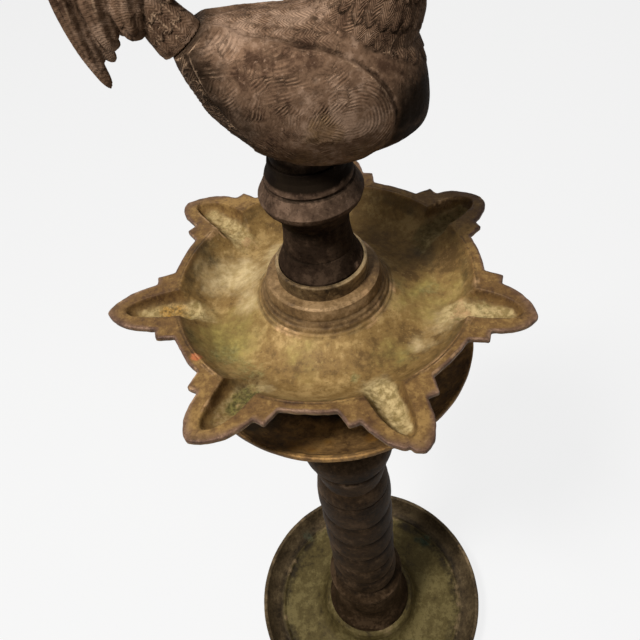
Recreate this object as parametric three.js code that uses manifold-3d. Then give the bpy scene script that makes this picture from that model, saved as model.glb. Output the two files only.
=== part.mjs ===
// A standing oil lamp of cast brass, about 82 cm tall. From the ground up: a dish-shaped base,
// three turned stem sections that screw into each other, a drip tray, an oil pan with seven
// wick spouts, a seating ring, and a post that carries a rooster. Millimetres, +Z up, with the
// origin on the lamp's axis at the level of the ground. The rooster faces +X.
import * as THREE from "three";
import { mergeVertices } from "three/addons/utils/BufferGeometryUtils.js";
import Module from "manifold-3d";

const wasm = await Module();
wasm.setup();

// Clearances
const slipGap = 0.3; // between a tenon and its bore, and between a pin and its hole

// Base
const baseRimRadius = 130.5;
const baseRimHeight = 39;
const baseFootRadius = 116;
const baseFootWidth = 9;
const baseWall = 4;
const baseFloorHeight = 18;
const baseFloorRadius = 108;
const baseBossRadius = 52;
const baseSeatHeight = 44;
const baseHubRadius = 21;
const baseHubDrop = 24; // of the hub's lower end below the seat
const baseSeatThickness = 5;

// Stem
const tenonRadius = 11;
const tenonLength = 22;
const coreHoleRadius = 7; // through each tenon, where the casting's core was dug out
const stemWall = 6.5; // of the hollow castings, at their thinnest
const boreSpare = 2; // depth of a blind bore past the end of what it takes
const lowerLength = 146;
const middleLength = 167;
const upperLength = 157;
const footFlareRadius = 47;
const bellWaistRadius = 34;
const beadRadius = 33; // of the stacked swellings
const creaseRadius = 30.5; // between them
const neckRadius = 27.4;
const cupRadius = 37;
const upperColumnRadius = 20;
const upperBeadRadius = 26;
const traySeatRadius = 29;
const grooveDepth = 1.2;

// Pillar and spindle
const pillarRadius = 15;
const pillarLength = 54;
const spindleRadius = 9;
const spindleSunk = 40; // below the pan's seat
const threadLength = 12;
const threadPitch = 3;

// Drip tray
const trayRimRadius = 90;
const trayRimHeight = 22; // above the tray's seat
const trayWall = 3;
const trayFloorHeight = 5;
const trayHubRadius = 23;
const trayHubHeight = 9;

// Oil pan; its heights are measured from the flange's top face
const panHubDrop = 22;
const panHubRadius = 20;
const wellRadius = 87;
const flangeRadius = wellRadius + 6.5;
const flangeThickness = 3.5;
const wellDepth = 17;
const wellFloorRadius = 67;
const panWall = 3.6;
const bossHeight = 8;
const bossTopRadius = 33;
const bossFootRadius = 36.5;
const bossFootDepth = 5;

// Wick spouts
const spoutCount = 7;
const firstSpoutAngle = 26.2; // degrees, anticlockwise from +X
const spoutNeckReach = wellRadius + 13.5; // from the lamp's axis, as all reaches are
const spoutNeckHalf = 18.2;
const spoutLength = 24.5; // past the neck
const spoutReach = spoutNeckReach + spoutLength;
// The spouts are hand-finished and not alike. Each has its own length past the neck, and its
// own sideways lean at the tip, anticlockwise seen from above.
const spoutLengths = [19, 24.5, 23.5, 29, 25.5, 27, 22];
const spoutLeans = [-3, 0, 6, -1, -4, 4, -3];
const toothLength = 10.5;
const toothHalf = 24.9;
const toothRootHalf = 26.5;
const troughHalf = 10.6;
const troughEndReach = wellRadius + 28.5;
const troughMiddleReach = wellRadius - 7;
const troughDepth = 13;
const troughWall = 2.8;

// Seating ring
const ringRadius = 26.4;
const ringHeight = 10;
const ringFloor = 4;
const ringLip = 1.4; // height of the lip that holds the post's foot
const ringLipRadius = 24.3;

// Finial post
const postFootRadius = 24.9;
const postFootThickness = 4.2;
const postWaistRadius = 18.3;
const postCollarRadius = 27.6;
const postCollarHeight = 54.5;
const postBeadRadius = 23;
const postNeckRadius = 19.6;
const postHeight = 76;
const postBoreLength = 28;
const socketRadius = 9;
const socketDepth = 26;
const pinRadius = 2;
const pinDrop = 12; // below the post's top face

// Rooster; its heights are measured from the post's top face
const beakLength = 24;
const headRadius = 12;
const headX = 57;
const headZ = 112;
const combHeight = 17;
const combThickness = 5;
const wattleLength = 17;
const perchHeight = 7; // the round foot under the belly, as wide as the post's neck
const wingSwell = 1.07; // how far the wings stand out from the trunk
const wingSpan = 90; // wider than the bird, for what runs right across it
const tailTenonRadius = 5.5;
const tailTenonLength = 20;
const rivetRadius = 1.8;
const featherCount = 5;
const featherHalf = 6.5;
const featherThickness = 4.5;

// Heights along the axis
const lowerSeatZ = baseSeatHeight;
const middleSeatZ = lowerSeatZ + lowerLength;
const upperSeatZ = middleSeatZ + middleLength;
const traySeatZ = upperSeatZ + upperLength;
const panSeatZ = traySeatZ + pillarLength;
const flangeZ = panSeatZ + panHubDrop;
const ringSeatZ = flangeZ + bossHeight;
const postSeatZ = ringSeatZ + ringFloor;
const postTopZ = postSeatZ + postHeight;
const spindleFootZ = panSeatZ - spindleSunk;
const spindleTopZ = postSeatZ + postBoreLength - boreSpare;

// Numbers of flats round a turned piece
const wideFlats = 40;
const panFlats = spoutCount * 6;
const stemFlats = 24;
const pinFlats = 12;
const wellSteps = 3; // to each curve of the oil pan's profile
const mergeDistance = 0.04; // facets flatter than this are merged after joining and cutting

// A profile in the plane of radius and height, drawn anticlockwise and turned about Z.
class Profile {
  constructor(radius, height) {
    this.path = new THREE.Path().moveTo(radius, height);
  }
  line(radius, height) {
    this.path.lineTo(radius, height);
    return this;
  }
  // a round hollow or swelling through one control point
  curve(controlRadius, controlHeight, radius, height) {
    this.path.quadraticCurveTo(controlRadius, controlHeight, radius, height);
    return this;
  }
  // a swelling that reaches bulgeRadius about half way to its end
  swell(bulgeRadius, radius, height) {
    const from = this.path.currentPoint;
    const outer = from.x + (bulgeRadius - from.x) / 0.75;
    const outerEnd = radius + (bulgeRadius - radius) / 0.75;
    const step = (height - from.y) * 0.2;
    this.path.bezierCurveTo(outer, from.y + step, outerEnd, height - step, radius, height);
    return this;
  }
  turned(flats, curveSteps = 4) {
    const points = this.path.getPoints(curveSteps);
    const kept = points.filter((p, i) => i === 0 || p.distanceTo(points[i - 1]) > 1e-6);
    return new THREE.LatheGeometry(kept, flats).rotateX(Math.PI / 2);
  }
}

// Joining and cutting of closed meshes
function solidOf(geometry) {
  const bare = geometry.clone();
  bare.deleteAttribute("normal");
  bare.deleteAttribute("uv");
  const merged = mergeVertices(bare, 1e-4);
  return new wasm.Manifold(
    new wasm.Mesh({
      numProp: 3,
      vertProperties: new Float32Array(merged.attributes.position.array),
      triVerts: new Uint32Array(merged.index.array),
    }),
  );
}

function geometryOf(solid) {
  const mesh = solid.simplify(mergeDistance).getMesh();
  const positions = new Float32Array(mesh.numVert * 3);
  for (let i = 0; i < mesh.numVert; i++) {
    const start = i * mesh.numProp;
    positions.set(mesh.vertProperties.subarray(start, start + 3), i * 3);
  }
  const geometry = new THREE.BufferGeometry();
  geometry.setAttribute("position", new THREE.BufferAttribute(positions, 3));
  geometry.setIndex(new THREE.BufferAttribute(mesh.triVerts, 1));
  geometry.computeVertexNormals();
  return geometry;
}

// A closed skin over rings of points, each ring running the same way round
function skin(rings) {
  const sides = rings[0].length;
  const index = [];
  for (let i = 0; i < rings.length - 1; i++) {
    for (let k = 0; k < sides; k++) {
      const next = (k + 1) % sides;
      const [a, b] = [i * sides + k, i * sides + next];
      index.push(a, b, b + sides, a, b + sides, a + sides);
    }
  }
  const last = (rings.length - 1) * sides;
  for (let k = 1; k < sides - 1; k++) {
    index.push(0, k + 1, k, last, last + k, last + k + 1);
  }
  const geometry = new THREE.BufferGeometry();
  geometry.setAttribute("position", new THREE.Float32BufferAttribute(rings.flat(2), 3));
  geometry.setIndex(index);
  return geometry;
}

// A tube of oval section along a curve that bends in the XZ plane; sizeAt gives its half
// height in that plane and its half width along Y.
function ovalTube(curve, sizeAt, steps, sides) {
  const rings = [];
  for (let i = 0; i <= steps; i++) {
    const t = i / steps;
    const centre = curve.getPoint(t);
    const along = curve.getTangent(t).setY(0).normalize();
    const [halfHeight, halfWidth] = sizeAt(t);
    const ring = [];
    for (let k = 0; k < sides; k++) {
      const angle = (2 * Math.PI * k) / sides;
      ring.push([
        centre.x + along.z * halfHeight * Math.cos(angle),
        centre.y + halfWidth * Math.sin(angle),
        centre.z - along.x * halfHeight * Math.cos(angle),
      ]);
    }
    rings.push(ring);
  }
  return skin(rings);
}

function oval(halfX, halfY, halfZ, around = 12, down = 8) {
  return new THREE.SphereGeometry(1, around, down).rotateX(Math.PI / 2).scale(halfX, halfY, halfZ);
}

function rod(radius, fromZ, toZ, flats = pinFlats) {
  return new Profile(0, fromZ).line(radius, fromZ).line(radius, toZ).line(0, toZ).turned(flats);
}

// The base: a wide dish with a raised rim on a ring foot. Its hub takes the lowest tenon.
function baseDish() {
  const bore = tenonRadius + slipGap;
  const footInner = baseFootRadius - baseFootWidth;
  const underFloor = baseFloorHeight - baseWall;
  const hubEnd = baseSeatHeight - baseHubDrop;
  const underSeat = baseSeatHeight - baseSeatThickness;
  return new Profile(bore, hubEnd)
    .line(baseHubRadius, hubEnd)
    .line(baseHubRadius + 1, underSeat)
    .line(baseBossRadius - 7, underSeat)
    .line(baseBossRadius - 4, underSeat - 3)
    .curve(baseBossRadius - 1, baseFloorHeight - 1, baseBossRadius + 14, underFloor)
    .line(footInner - 8, underFloor)
    .curve(footInner, underFloor, footInner, 0)
    .line(baseFootRadius, 0)
    .line(baseFootRadius, 4)
    .curve(baseFootRadius - 5, underFloor, baseFootRadius + 5, baseFloorHeight + 2)
    .curve(baseRimRadius - 4, baseRimHeight - 12, baseRimRadius, baseRimHeight - 4)
    .line(baseRimRadius, baseRimHeight - 1)
    .line(baseRimRadius - 1.5, baseRimHeight)
    .line(baseRimRadius - 4, baseRimHeight - 1)
    .curve(baseRimRadius - 9, baseFloorHeight + 6, baseFloorRadius + 3, baseFloorHeight + 1)
    .line(baseFloorRadius, baseFloorHeight + 2)
    .line(baseFloorRadius - 3, baseFloorHeight)
    .line(baseBossRadius + 18, baseFloorHeight + 1)
    .curve(baseBossRadius + 3, baseFloorHeight + 3, baseBossRadius + 1, baseSeatHeight - 6)
    .line(baseBossRadius - 1, baseSeatHeight - 2)
    .line(baseBossRadius - 4, baseSeatHeight)
    .line(bore, baseSeatHeight)
    .line(bore, hubEnd)
    .turned(wideFlats, 3);
}

// A tenon below z with a hole through it, drawn as the start of a profile
function tenonUnder(z) {
  return new Profile(coreHoleRadius, z - tenonLength)
    .line(tenonRadius - 1, z - tenonLength)
    .line(tenonRadius, z - tenonLength + 1)
    .line(tenonRadius, z);
}

// The rest of the profile of a stem section that stands on z: the bore for the next tenon
// below the top, the hollow that the core left, and the hole through the section's own tenon
function hollowFrom(profile, top, z) {
  const bore = tenonRadius + slipGap;
  const ledge = top - tenonLength - boreSpare;
  const core = creaseRadius - stemWall;
  return profile
    .line(bore, top)
    .line(bore, ledge)
    .line(coreHoleRadius, ledge)
    .line(coreHoleRadius, ledge - stemWall)
    .line(core - 7, ledge - stemWall)
    .line(core, ledge - stemWall - 10)
    .line(core, z + stemWall + 10)
    .line(core - 7, z + stemWall)
    .line(coreHoleRadius, z + stemWall)
    .line(coreHoleRadius, z - tenonLength)
    .turned(stemFlats, 3);
}

// A V-shaped groove cut round a swelling
function groove(profile, radius, height) {
  return profile
    .line(radius, height - 1.2)
    .line(radius - grooveDepth, height)
    .line(radius, height + 1.2);
}

// The lowest stem section: a bell that stands on the base, with a sharp band over it and two
// stacked swellings on top.
function stemLower() {
  const [z, top] = [lowerSeatZ, middleSeatZ];
  const p = tenonUnder(z)
    .line(footFlareRadius - 1.5, z)
    .line(footFlareRadius, z + 2)
    .line(footFlareRadius - 1.5, z + 7)
    .curve(bellWaistRadius + 2, z + 18, bellWaistRadius, z + 0.46 * lowerLength)
    .line(bellWaistRadius + 6, z + 0.52 * lowerLength)
    .line(bellWaistRadius + 6, z + 0.55 * lowerLength)
    .line(creaseRadius + 1, z + 0.6 * lowerLength);
  p.swell(beadRadius + 1, creaseRadius + 0.5, z + 0.8 * lowerLength);
  return hollowFrom(p.swell(beadRadius, creaseRadius, top), top, z);
}

// The middle stem section: four stacked swellings. The tallest, at the top, has a groove.
function stemMiddle() {
  const [z, top] = [middleSeatZ, upperSeatZ];
  const p = tenonUnder(z)
    .line(creaseRadius, z)
    .swell(beadRadius, creaseRadius, z + 0.2 * middleLength)
    .swell(beadRadius, creaseRadius, z + 0.42 * middleLength)
    .swell(beadRadius, creaseRadius, z + 0.64 * middleLength)
    .swell(beadRadius, beadRadius - 1.5, z + 0.87 * middleLength);
  groove(p, beadRadius - 1.7, z + 0.89 * middleLength);
  return hollowFrom(p.curve(beadRadius - 2.5, z + 0.95 * middleLength, neckRadius, top), top, z);
}

// The top stem section: a cup, a ringed column and the shoulder that carries the drip tray.
// A plain pillar goes on up through the tray to the seat of the oil pan. It is hollow up to
// the spindle's foot, which closes the core's hole.
function stemUpper() {
  const [z, shoulder, top] = [upperSeatZ, traySeatZ, panSeatZ];
  const bore = spindleRadius + slipGap;
  const core = neckRadius - stemWall;
  const coreTop = z + 0.4 * upperLength;
  return tenonUnder(z)
    .line(neckRadius, z)
    .line(beadRadius - 1.5, z + 0.14 * upperLength)
    .line(beadRadius - 1.5, z + 0.17 * upperLength)
    .line(creaseRadius - 0.5, z + 0.2 * upperLength)
    .curve(cupRadius + 1, z + 0.24 * upperLength, cupRadius, z + 0.36 * upperLength)
    .curve(cupRadius - 2, z + 0.44 * upperLength, upperColumnRadius + 4, z + 0.47 * upperLength)
    .line(upperColumnRadius, z + 0.5 * upperLength)
    .line(upperColumnRadius, z + 0.57 * upperLength)
    .swell(upperBeadRadius, upperColumnRadius, z + 0.66 * upperLength)
    .curve(upperColumnRadius - 3, z + 0.82 * upperLength, traySeatRadius - 4, shoulder - 9)
    .line(traySeatRadius, shoulder - 7)
    .line(traySeatRadius, shoulder)
    .line(pillarRadius, shoulder)
    .line(pillarRadius, top)
    .line(bore, top)
    .line(bore, spindleFootZ)
    .line(coreHoleRadius, spindleFootZ)
    .line(coreHoleRadius, coreTop)
    .line(core - 7, coreTop)
    .line(core, coreTop - 10)
    .line(core, z + stemWall + 10)
    .line(core - 7, z + stemWall)
    .line(coreHoleRadius, z + stemWall)
    .line(coreHoleRadius, z - tenonLength)
    .turned(stemFlats, 3);
}

// The spindle: a rod set in the pillar. The post screws onto its threaded top.
function spindle() {
  return new Profile(0, spindleFootZ)
    .line(spindleRadius, spindleFootZ)
    .line(spindleRadius, spindleTopZ - 2)
    .line(spindleRadius - 2, spindleTopZ)
    .line(0, spindleTopZ)
    .turned(stemFlats);
}

// The drip tray: a shallow saucer whose hub slips over the pillar.
function dripTray() {
  const bore = pillarRadius + slipGap;
  const rim = traySeatZ + trayRimHeight;
  const floor = traySeatZ + trayFloorHeight;
  return new Profile(bore, traySeatZ)
    .line(trayHubRadius + 6, traySeatZ)
    .line(trayHubRadius + 9, floor - trayWall)
    .line(trayRimRadius - 28, floor - trayWall + 1)
    .curve(trayRimRadius - 6, floor + 1, trayRimRadius, rim - 3.5)
    .line(trayRimRadius, rim - 0.5)
    .line(trayRimRadius - 1, rim)
    .line(trayRimRadius - 3, rim - 1)
    .curve(trayRimRadius - 11, floor + 4, trayRimRadius - 28, floor + 1)
    .line(trayHubRadius + 5, floor)
    .line(trayHubRadius, floor + 1.5)
    .line(trayHubRadius - 1.5, traySeatZ + trayHubHeight)
    .line(bore, traySeatZ + trayHubHeight)
    .line(bore, traySeatZ)
    .turned(wideFlats);
}

// The upper face of the oil pan's well, from the boss to the flange
function wellFace(profile) {
  return profile
    .line(bossTopRadius, ringSeatZ - 1)
    .curve(bossTopRadius + 1, ringSeatZ - 4, bossTopRadius + 1.5, flangeZ)
    .line(bossFootRadius, flangeZ - bossFootDepth + 2)
    .line(bossFootRadius + 2, flangeZ - bossFootDepth - 1)
    .curve(bossFootRadius + 16, flangeZ - wellDepth + 0.5, wellFloorRadius - 2, flangeZ - wellDepth)
    .curve(wellFloorRadius + 7, flangeZ - wellDepth, wellRadius - 1, flangeZ - 1.5)
    .line(wellRadius, flangeZ);
}

// The bowl of the oil pan with its raised boss, hub and narrow flange
function panBowl() {
  const bore = spindleRadius + slipGap;
  const under = flangeZ - wellDepth - panWall;
  const p = new Profile(bore, panSeatZ)
    .line(panHubRadius, panSeatZ)
    .line(panHubRadius + 1, flangeZ - 14)
    .curve(panHubRadius + 3, flangeZ - 9, bossFootRadius, flangeZ - bossFootDepth - 6)
    .curve(bossFootRadius + 12, under + 2, wellFloorRadius - 2, under)
    .curve(wellFloorRadius + 10, under, wellRadius + 1, flangeZ - flangeThickness - 1)
    .line(flangeRadius - 1, flangeZ - flangeThickness)
    .line(flangeRadius, flangeZ - flangeThickness + 1)
    .line(flangeRadius, flangeZ)
    .line(wellRadius, flangeZ);
  const face = new Profile(bore, ringSeatZ).line(bossTopRadius - 1.5, ringSeatZ);
  const down = wellFace(face).path.getPoints(wellSteps).reverse();
  down.slice(1).forEach((q) => p.line(q.x, q.y));
  return p.line(bore, panSeatZ).turned(panFlats, wellSteps);
}

// A block wider than the pan with its top face at a height, for cutting what lies below it
function blockUnder(height) {
  const side = 4 * spoutReach;
  return new THREE.BoxGeometry(side, side, side).translate(0, 0, height - side / 2);
}

// What the well leaves free, up to above the flange
function wellSpace() {
  const above = flangeZ + 20;
  const p = wellFace(new Profile(0, ringSeatZ).line(bossTopRadius - 1.5, ringSeatZ));
  return p.line(wellRadius, above).line(0, above).turned(panFlats, wellSteps);
}

// One spout seen from above: two square teeth, then a leaf that ends in a blunt point
function spoutOutline() {
  const inner = wellRadius + 1;
  const half = new THREE.Path()
    .moveTo(inner, -toothRootHalf)
    .lineTo(spoutNeckReach - toothLength, -toothRootHalf)
    .lineTo(spoutNeckReach, -toothHalf)
    .lineTo(spoutNeckReach, -spoutNeckHalf)
    .bezierCurveTo(spoutNeckReach + 12, -spoutNeckHalf + 2, spoutReach - 2, -9, spoutReach, 0)
    .getPoints(6);
  const other = half.slice(0, -1).reverse();
  return new THREE.Shape([...half, ...other.map((q) => new THREE.Vector2(q.x, -q.y))]);
}

// Stretches and bends what lies past the spout's neck, to bring its tip to the given place
function bend(geometry, length, lean) {
  const at = geometry.attributes.position;
  for (let i = 0; i < at.count; i++) {
    const past = Math.max(0, at.getX(i) - spoutNeckReach) / spoutLength;
    at.setX(i, at.getX(i) + past * (length - spoutLength));
    at.setY(i, at.getY(i) + past ** 1.5 * lean);
  }
  return geometry;
}

// The oil pan: bowl, seven leaf-shaped spouts, and a wick trough down the middle of each.
function oilPan() {
  const length = troughEndReach - troughMiddleReach;
  const below = solidOf(blockUnder(0));
  let spouts = null;
  let troughs = null;
  for (let i = 0; i < spoutCount; i++) {
    const shaped = (geometry) => solidOf(bend(geometry, spoutLengths[i], spoutLeans[i]));
    const leaf = shaped(
      new THREE.ExtrudeGeometry(spoutOutline(), { depth: flangeThickness, bevelEnabled: false })
        .translate(0, 0, -flangeThickness),
    );
    const keel = shaped(
      oval(length + troughWall, troughHalf + troughWall, troughDepth + troughWall)
        .translate(troughMiddleReach, 0, 0),
    ).intersect(below);
    const trough = shaped(
      oval(length, troughHalf, troughDepth).translate(troughMiddleReach, 0, 0),
    );
    const turn = [0, 0, firstSpoutAngle + (i * 360) / spoutCount];
    const spout = leaf.add(keel).rotate(turn).translate([0, 0, flangeZ]);
    const cut = trough.rotate(turn).translate([0, 0, flangeZ]);
    spouts = spouts ? spouts.add(spout) : spout;
    troughs = troughs ? troughs.add(cut) : cut;
  }
  const bowl = solidOf(panBowl());
  return geometryOf(spouts.subtract(solidOf(wellSpace())).add(bowl).subtract(troughs));
}

// The ring between the pan's boss and the post. Its lip is closed over the post's foot, so the
// post turns in the ring and carries it up and down.
function seatRing() {
  const recess = postFootRadius + slipGap;
  const bore = spindleRadius + slipGap;
  const top = ringSeatZ + ringHeight;
  return new Profile(bore, ringSeatZ)
    .line(ringRadius, ringSeatZ)
    .line(ringRadius, top - 0.8)
    .line(ringRadius - 0.6, top)
    .line(ringLipRadius, top)
    .line(ringLipRadius, top - ringLip)
    .line(recess, top - ringLip)
    .line(recess, postSeatZ)
    .line(bore, postSeatZ)
    .line(bore, ringSeatZ)
    .turned(stemFlats);
}

// The post: a flared column under a sharp collar. It is bored below for the spindle and
// above for the rooster's tang, and drilled from the back for the tang's pin.
function finialPost() {
  const [z, top] = [postSeatZ, postTopZ];
  const bore = spindleRadius + slipGap;
  const ringTop = ringSeatZ + ringHeight;
  const body = new Profile(0, z + postBoreLength)
    .line(bore, z + postBoreLength)
    .line(bore, z)
    .line(postFootRadius, z)
    .line(postFootRadius, z + postFootThickness)
    .line(ringLipRadius - slipGap, z + postFootThickness)
    .line(ringLipRadius - slipGap, ringTop + 1)
    .curve(postWaistRadius + 2.2, z + 15, postWaistRadius + 1.2, z + 19)
    .line(postWaistRadius, z + 29)
    .line(postWaistRadius, z + 38)
    .curve(postWaistRadius + 2, z + 43, postCollarRadius - 1.2, z + postCollarHeight - 3.5)
    .line(postCollarRadius, z + postCollarHeight + 0.4)
    .line(postCollarRadius - 1.4, z + postCollarHeight + 3)
    .line(postBeadRadius + 0.6, z + postCollarHeight + 8)
    .line(postBeadRadius - 0.6, z + postCollarHeight + 9)
    .line(postBeadRadius, z + postCollarHeight + 10.4)
    .line(postBeadRadius - 0.8, z + postCollarHeight + 12.9)
    .line(postNeckRadius + 0.8, z + postCollarHeight + 16.5)
    .line(postNeckRadius, top)
    .line(socketRadius + slipGap, top)
    .line(socketRadius + slipGap, top - socketDepth)
    .line(0, top - socketDepth)
    .turned(stemFlats, 3);
  return geometryOf(solidOf(body).subtract(solidOf(pinHole())));
}

// The tang's pin lies along Y. It comes in from the back and stops short of the front.
const pinZ = postTopZ - pinDrop;
const pinStartY = -socketRadius + 3;
const pinEndY = postBeadRadius - 1;

function pinAlong(radius, fromY, toY) {
  return rod(radius, fromY, toY).rotateX(-Math.PI / 2).translate(0, 0, pinZ);
}

function pinHole() {
  return pinAlong(pinRadius + slipGap, pinStartY - slipGap, postCollarRadius + 5);
}

// A closed skin over oval cross-sections that stand along X. Each station is [x, height of
// the middle, rise above it, drop below it, half width].
function hull(stations, steps, sides) {
  const middle = stations.map(([x, z, , , half]) => new THREE.Vector3(x, z, half));
  const reach = stations.map(([, , up, down]) => new THREE.Vector3(up, down, 0));
  const middleCurve = new THREE.CatmullRomCurve3(middle, false, "catmullrom");
  const reachCurve = new THREE.CatmullRomCurve3(reach, false, "catmullrom");
  const rings = [];
  for (let i = 0; i <= steps; i++) {
    const at = middleCurve.getPoint(i / steps);
    const span = reachCurve.getPoint(i / steps);
    const ring = [];
    for (let k = 0; k < sides; k++) {
      const angle = (-2 * Math.PI * k) / sides;
      const [c, s] = [Math.cos(angle), Math.sin(angle)];
      ring.push([at.x, at.z * s, at.y + (c > 0 ? span.x : span.y) * c]);
    }
    rings.push(ring);
  }
  return skin(rings).translate(0, 0, postTopZ);
}

// The rooster's trunk, from the rump to the breast
function trunk() {
  const stations = [
    [-50, 68, 4, 4, 4],
    [-46, 62, 11, 15, 12],
    [-39, 54, 17, 25, 17],
    [-28, 46, 24, 30, 23.5],
    [-18, 41, 29, 35, 28],
    [0, 37, 33, 37.5, 31],
    [20, 36, 34, 38, 31.5],
    [39, 33, 33, 32, 28],
    [49, 30, 30, 26, 22],
    [55.5, 27, 22, 19.5, 15.5],
    [59, 24, 12, 12, 8],
    [60, 22, 4, 4, 3],
  ];
  return hull(stations, 18, 18);
}

// The outline of both wings, seen from the side and run right across the trunk
function wingSlab() {
  const outline = new THREE.Path()
    .moveTo(22, 6)
    .quadraticCurveTo(39, 14, 39.5, 30)
    .quadraticCurveTo(38, 52, 10, 61)
    .quadraticCurveTo(-14, 66, -45, 74)
    .quadraticCurveTo(-36, 32, -6, 10)
    .quadraticCurveTo(8, 4, 22, 6)
    .getPoints(6);
  const points = outline.slice(0, -1).map((q) => new THREE.Vector2(q.x, q.y + postTopZ));
  return new THREE.ExtrudeGeometry(new THREE.Shape(points), { depth: wingSpan, bevelEnabled: false })
    .rotateX(Math.PI / 2)
    .translate(0, wingSpan / 2, 0);
}

function neckAndHead() {
  const z = postTopZ;
  const line = new THREE.CatmullRomCurve3([
    new THREE.Vector3(18, 0, z + 42),
    new THREE.Vector3(35, 0, z + 62),
    new THREE.Vector3(46, 0, z + headZ - 26),
    new THREE.Vector3(headX - 5, 0, z + headZ - 8),
    new THREE.Vector3(headX, 0, z + headZ + 2),
    new THREE.Vector3(headX + 3, 0, z + headZ + 10),
  ]);
  const radii = new THREE.CatmullRomCurve3([
    new THREE.Vector3(24, 24, 0),
    new THREE.Vector3(22, 21, 0),
    new THREE.Vector3(headRadius + 3, headRadius + 1.5, 0),
    new THREE.Vector3(headRadius + 0.5, headRadius - 0.5, 0),
    new THREE.Vector3(headRadius - 1.5, headRadius - 2.5, 0),
    new THREE.Vector3(3, 3, 0),
  ]);
  return ovalTube(line, (t) => radii.getPoint(t).toArray(), 10, 12);
}

function beak() {
  const start = new THREE.Vector3(headX + headRadius - 6, 0, postTopZ + headZ);
  const line = new THREE.QuadraticBezierCurve3(
    start,
    start.clone().add(new THREE.Vector3(0.6 * beakLength, 0, 2)),
    start.clone().add(new THREE.Vector3(beakLength, 0, -6)),
  );
  return ovalTube(line, (t) => [7 - 6 * t, 5.5 - 4.7 * t], 4, 8);
}

// A comb of five points, standing on the crown of the head
function comb() {
  const [x, z] = [headX - 14, postTopZ + headZ];
  const points = 5;
  const pitch = 6;
  const edge = [new THREE.Vector2(x + 3, z - 2)];
  for (let i = 0; i < points; i++) {
    const rise = combHeight * (0.75 + 0.25 * Math.sin((Math.PI * (i + 0.5)) / points)) + 8;
    edge.push(new THREE.Vector2(x - 3 + pitch * (i + 0.2), z + rise));
    edge.push(new THREE.Vector2(x - 1 + pitch * (i + 0.9), z + rise - 7));
  }
  edge.push(new THREE.Vector2(x + pitch * points - 3, z + 2));
  const plate = new THREE.Shape(edge.reverse());
  return new THREE.ExtrudeGeometry(plate, { depth: combThickness, bevelEnabled: false })
    .rotateX(Math.PI / 2)
    .translate(0, combThickness / 2, 0);
}

// The tail stands on a flat that is cut across the rump. This turns and moves a shape from
// its own axes, with Z out of the flat, into place there.
const tailLean = 0.6; // radians from upright, towards the back
const tailSeat = new THREE.Vector3(-44, 0, postTopZ + 63);

function atTail(geometry) {
  return geometry.rotateY(-tailLean).translate(tailSeat.x, tailSeat.y, tailSeat.z);
}

function tailTenon(radius, length) {
  return atTail(rod(radius, -length, 4));
}

// The rivet crosses the tenon. Like the pin it comes in from the far side.
const rivetStartY = -tailTenonRadius + 1.5;
const rivetEndY = 17.5;

function tailRivet(radius, fromY, toY) {
  const across = rod(radius, fromY, toY).rotateX(-Math.PI / 2);
  return atTail(across.translate(0, 0, -0.5 * tailTenonLength));
}

function rivetHole() {
  return tailRivet(rivetRadius + slipGap, rivetStartY - slipGap, 60);
}

// The rooster in one casting: trunk, wings, neck, head, beak, comb, wattles, eyes and tang.
function birdBody() {
  const swollen = trunk()
    .translate(0, 0, -postTopZ - 36)
    .scale(1, wingSwell, wingSwell - 0.01)
    .translate(0, 0, postTopZ + 36);
  let bird = solidOf(trunk())
    .add(solidOf(swollen).intersect(solidOf(wingSlab())))
    .add(solidOf(neckAndHead()))
    .add(solidOf(beak()))
    .add(solidOf(comb()));
  for (const side of [-1, 1]) {
    const wattle = oval(4.5, 3, wattleLength / 2, 8, 6)
      .translate(headX + headRadius - 3, side * 3.5, postTopZ + headZ - wattleLength / 2 - 1);
    const eye = oval(2.2, 1.6, 2.2, 6, 6)
      .translate(headX + 1, side * (headRadius - 3.4), postTopZ + headZ + 1);
    bird = bird.add(solidOf(wattle)).add(solidOf(eye));
  }
  const overTail = atTail(new THREE.BoxGeometry(60, wingSpan, 40).translate(0, 0, 20));
  const tangFoot = postTopZ - socketDepth + boreSpare;
  return geometryOf(
    bird
      .subtract(solidOf(blockUnder(postTopZ)))
      .subtract(solidOf(overTail))
      .add(solidOf(rod(socketRadius, tangFoot, postTopZ + 5, stemFlats)))
      .add(solidOf(rod(postNeckRadius - 0.8, postTopZ, postTopZ + perchHeight, stemFlats)))
      .subtract(solidOf(pinHole()))
      .subtract(solidOf(tailTenon(tailTenonRadius + slipGap, tailTenonLength + boreSpare)))
      .subtract(solidOf(rivetHole())),
  );
}

// The tail: sickle feathers that rise from one root, arch over and hang. The longest of them
// hangs lowest, behind the rump.
function birdTail() {
  const rootLine = new THREE.QuadraticBezierCurve3(
    new THREE.Vector3(0, 0, slipGap),
    new THREE.Vector3(0, 0, 12),
    new THREE.Vector3(3, 0, 24),
  );
  const root = atTail(ovalTube(rootLine, (t) => [11 - 3 * t, 9 - 3 * t], 4, 12));
  let tail = solidOf(root).add(solidOf(tailTenon(tailTenonRadius, tailTenonLength)));
  for (let i = 0; i < featherCount; i++) {
    const share = 1 - 0.15 * i;
    const side = (i % 2 ? 1 : -1) * Math.min(i, 1) * (1 + i);
    const at = (x, y, z) => new THREE.Vector3(-46 + share * x, side * y, postTopZ + 76 + share * z);
    const line = new THREE.CatmullRomCurve3([
      at(-3, 0, 0),
      at(-6, 0.4, 18),
      at(-17, 0.8, 37),
      at(-30, 1, 36),
      at(-37.5, 1, 16),
      at(-37.5, 1, -8),
      at(-33.4, 1, -28.5 + 7 * i),
    ]);
    const size = (t) => {
      const width = t < 0.7 ? 0.65 + 0.5 * t : 1 - 2.6 * (t - 0.7) ** 1.1;
      return [featherHalf * width, featherThickness * width];
    };
    tail = tail.add(solidOf(ovalTube(line, size, 11, 8)));
  }
  return geometryOf(tail.subtract(solidOf(rivetHole())));
}

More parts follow.
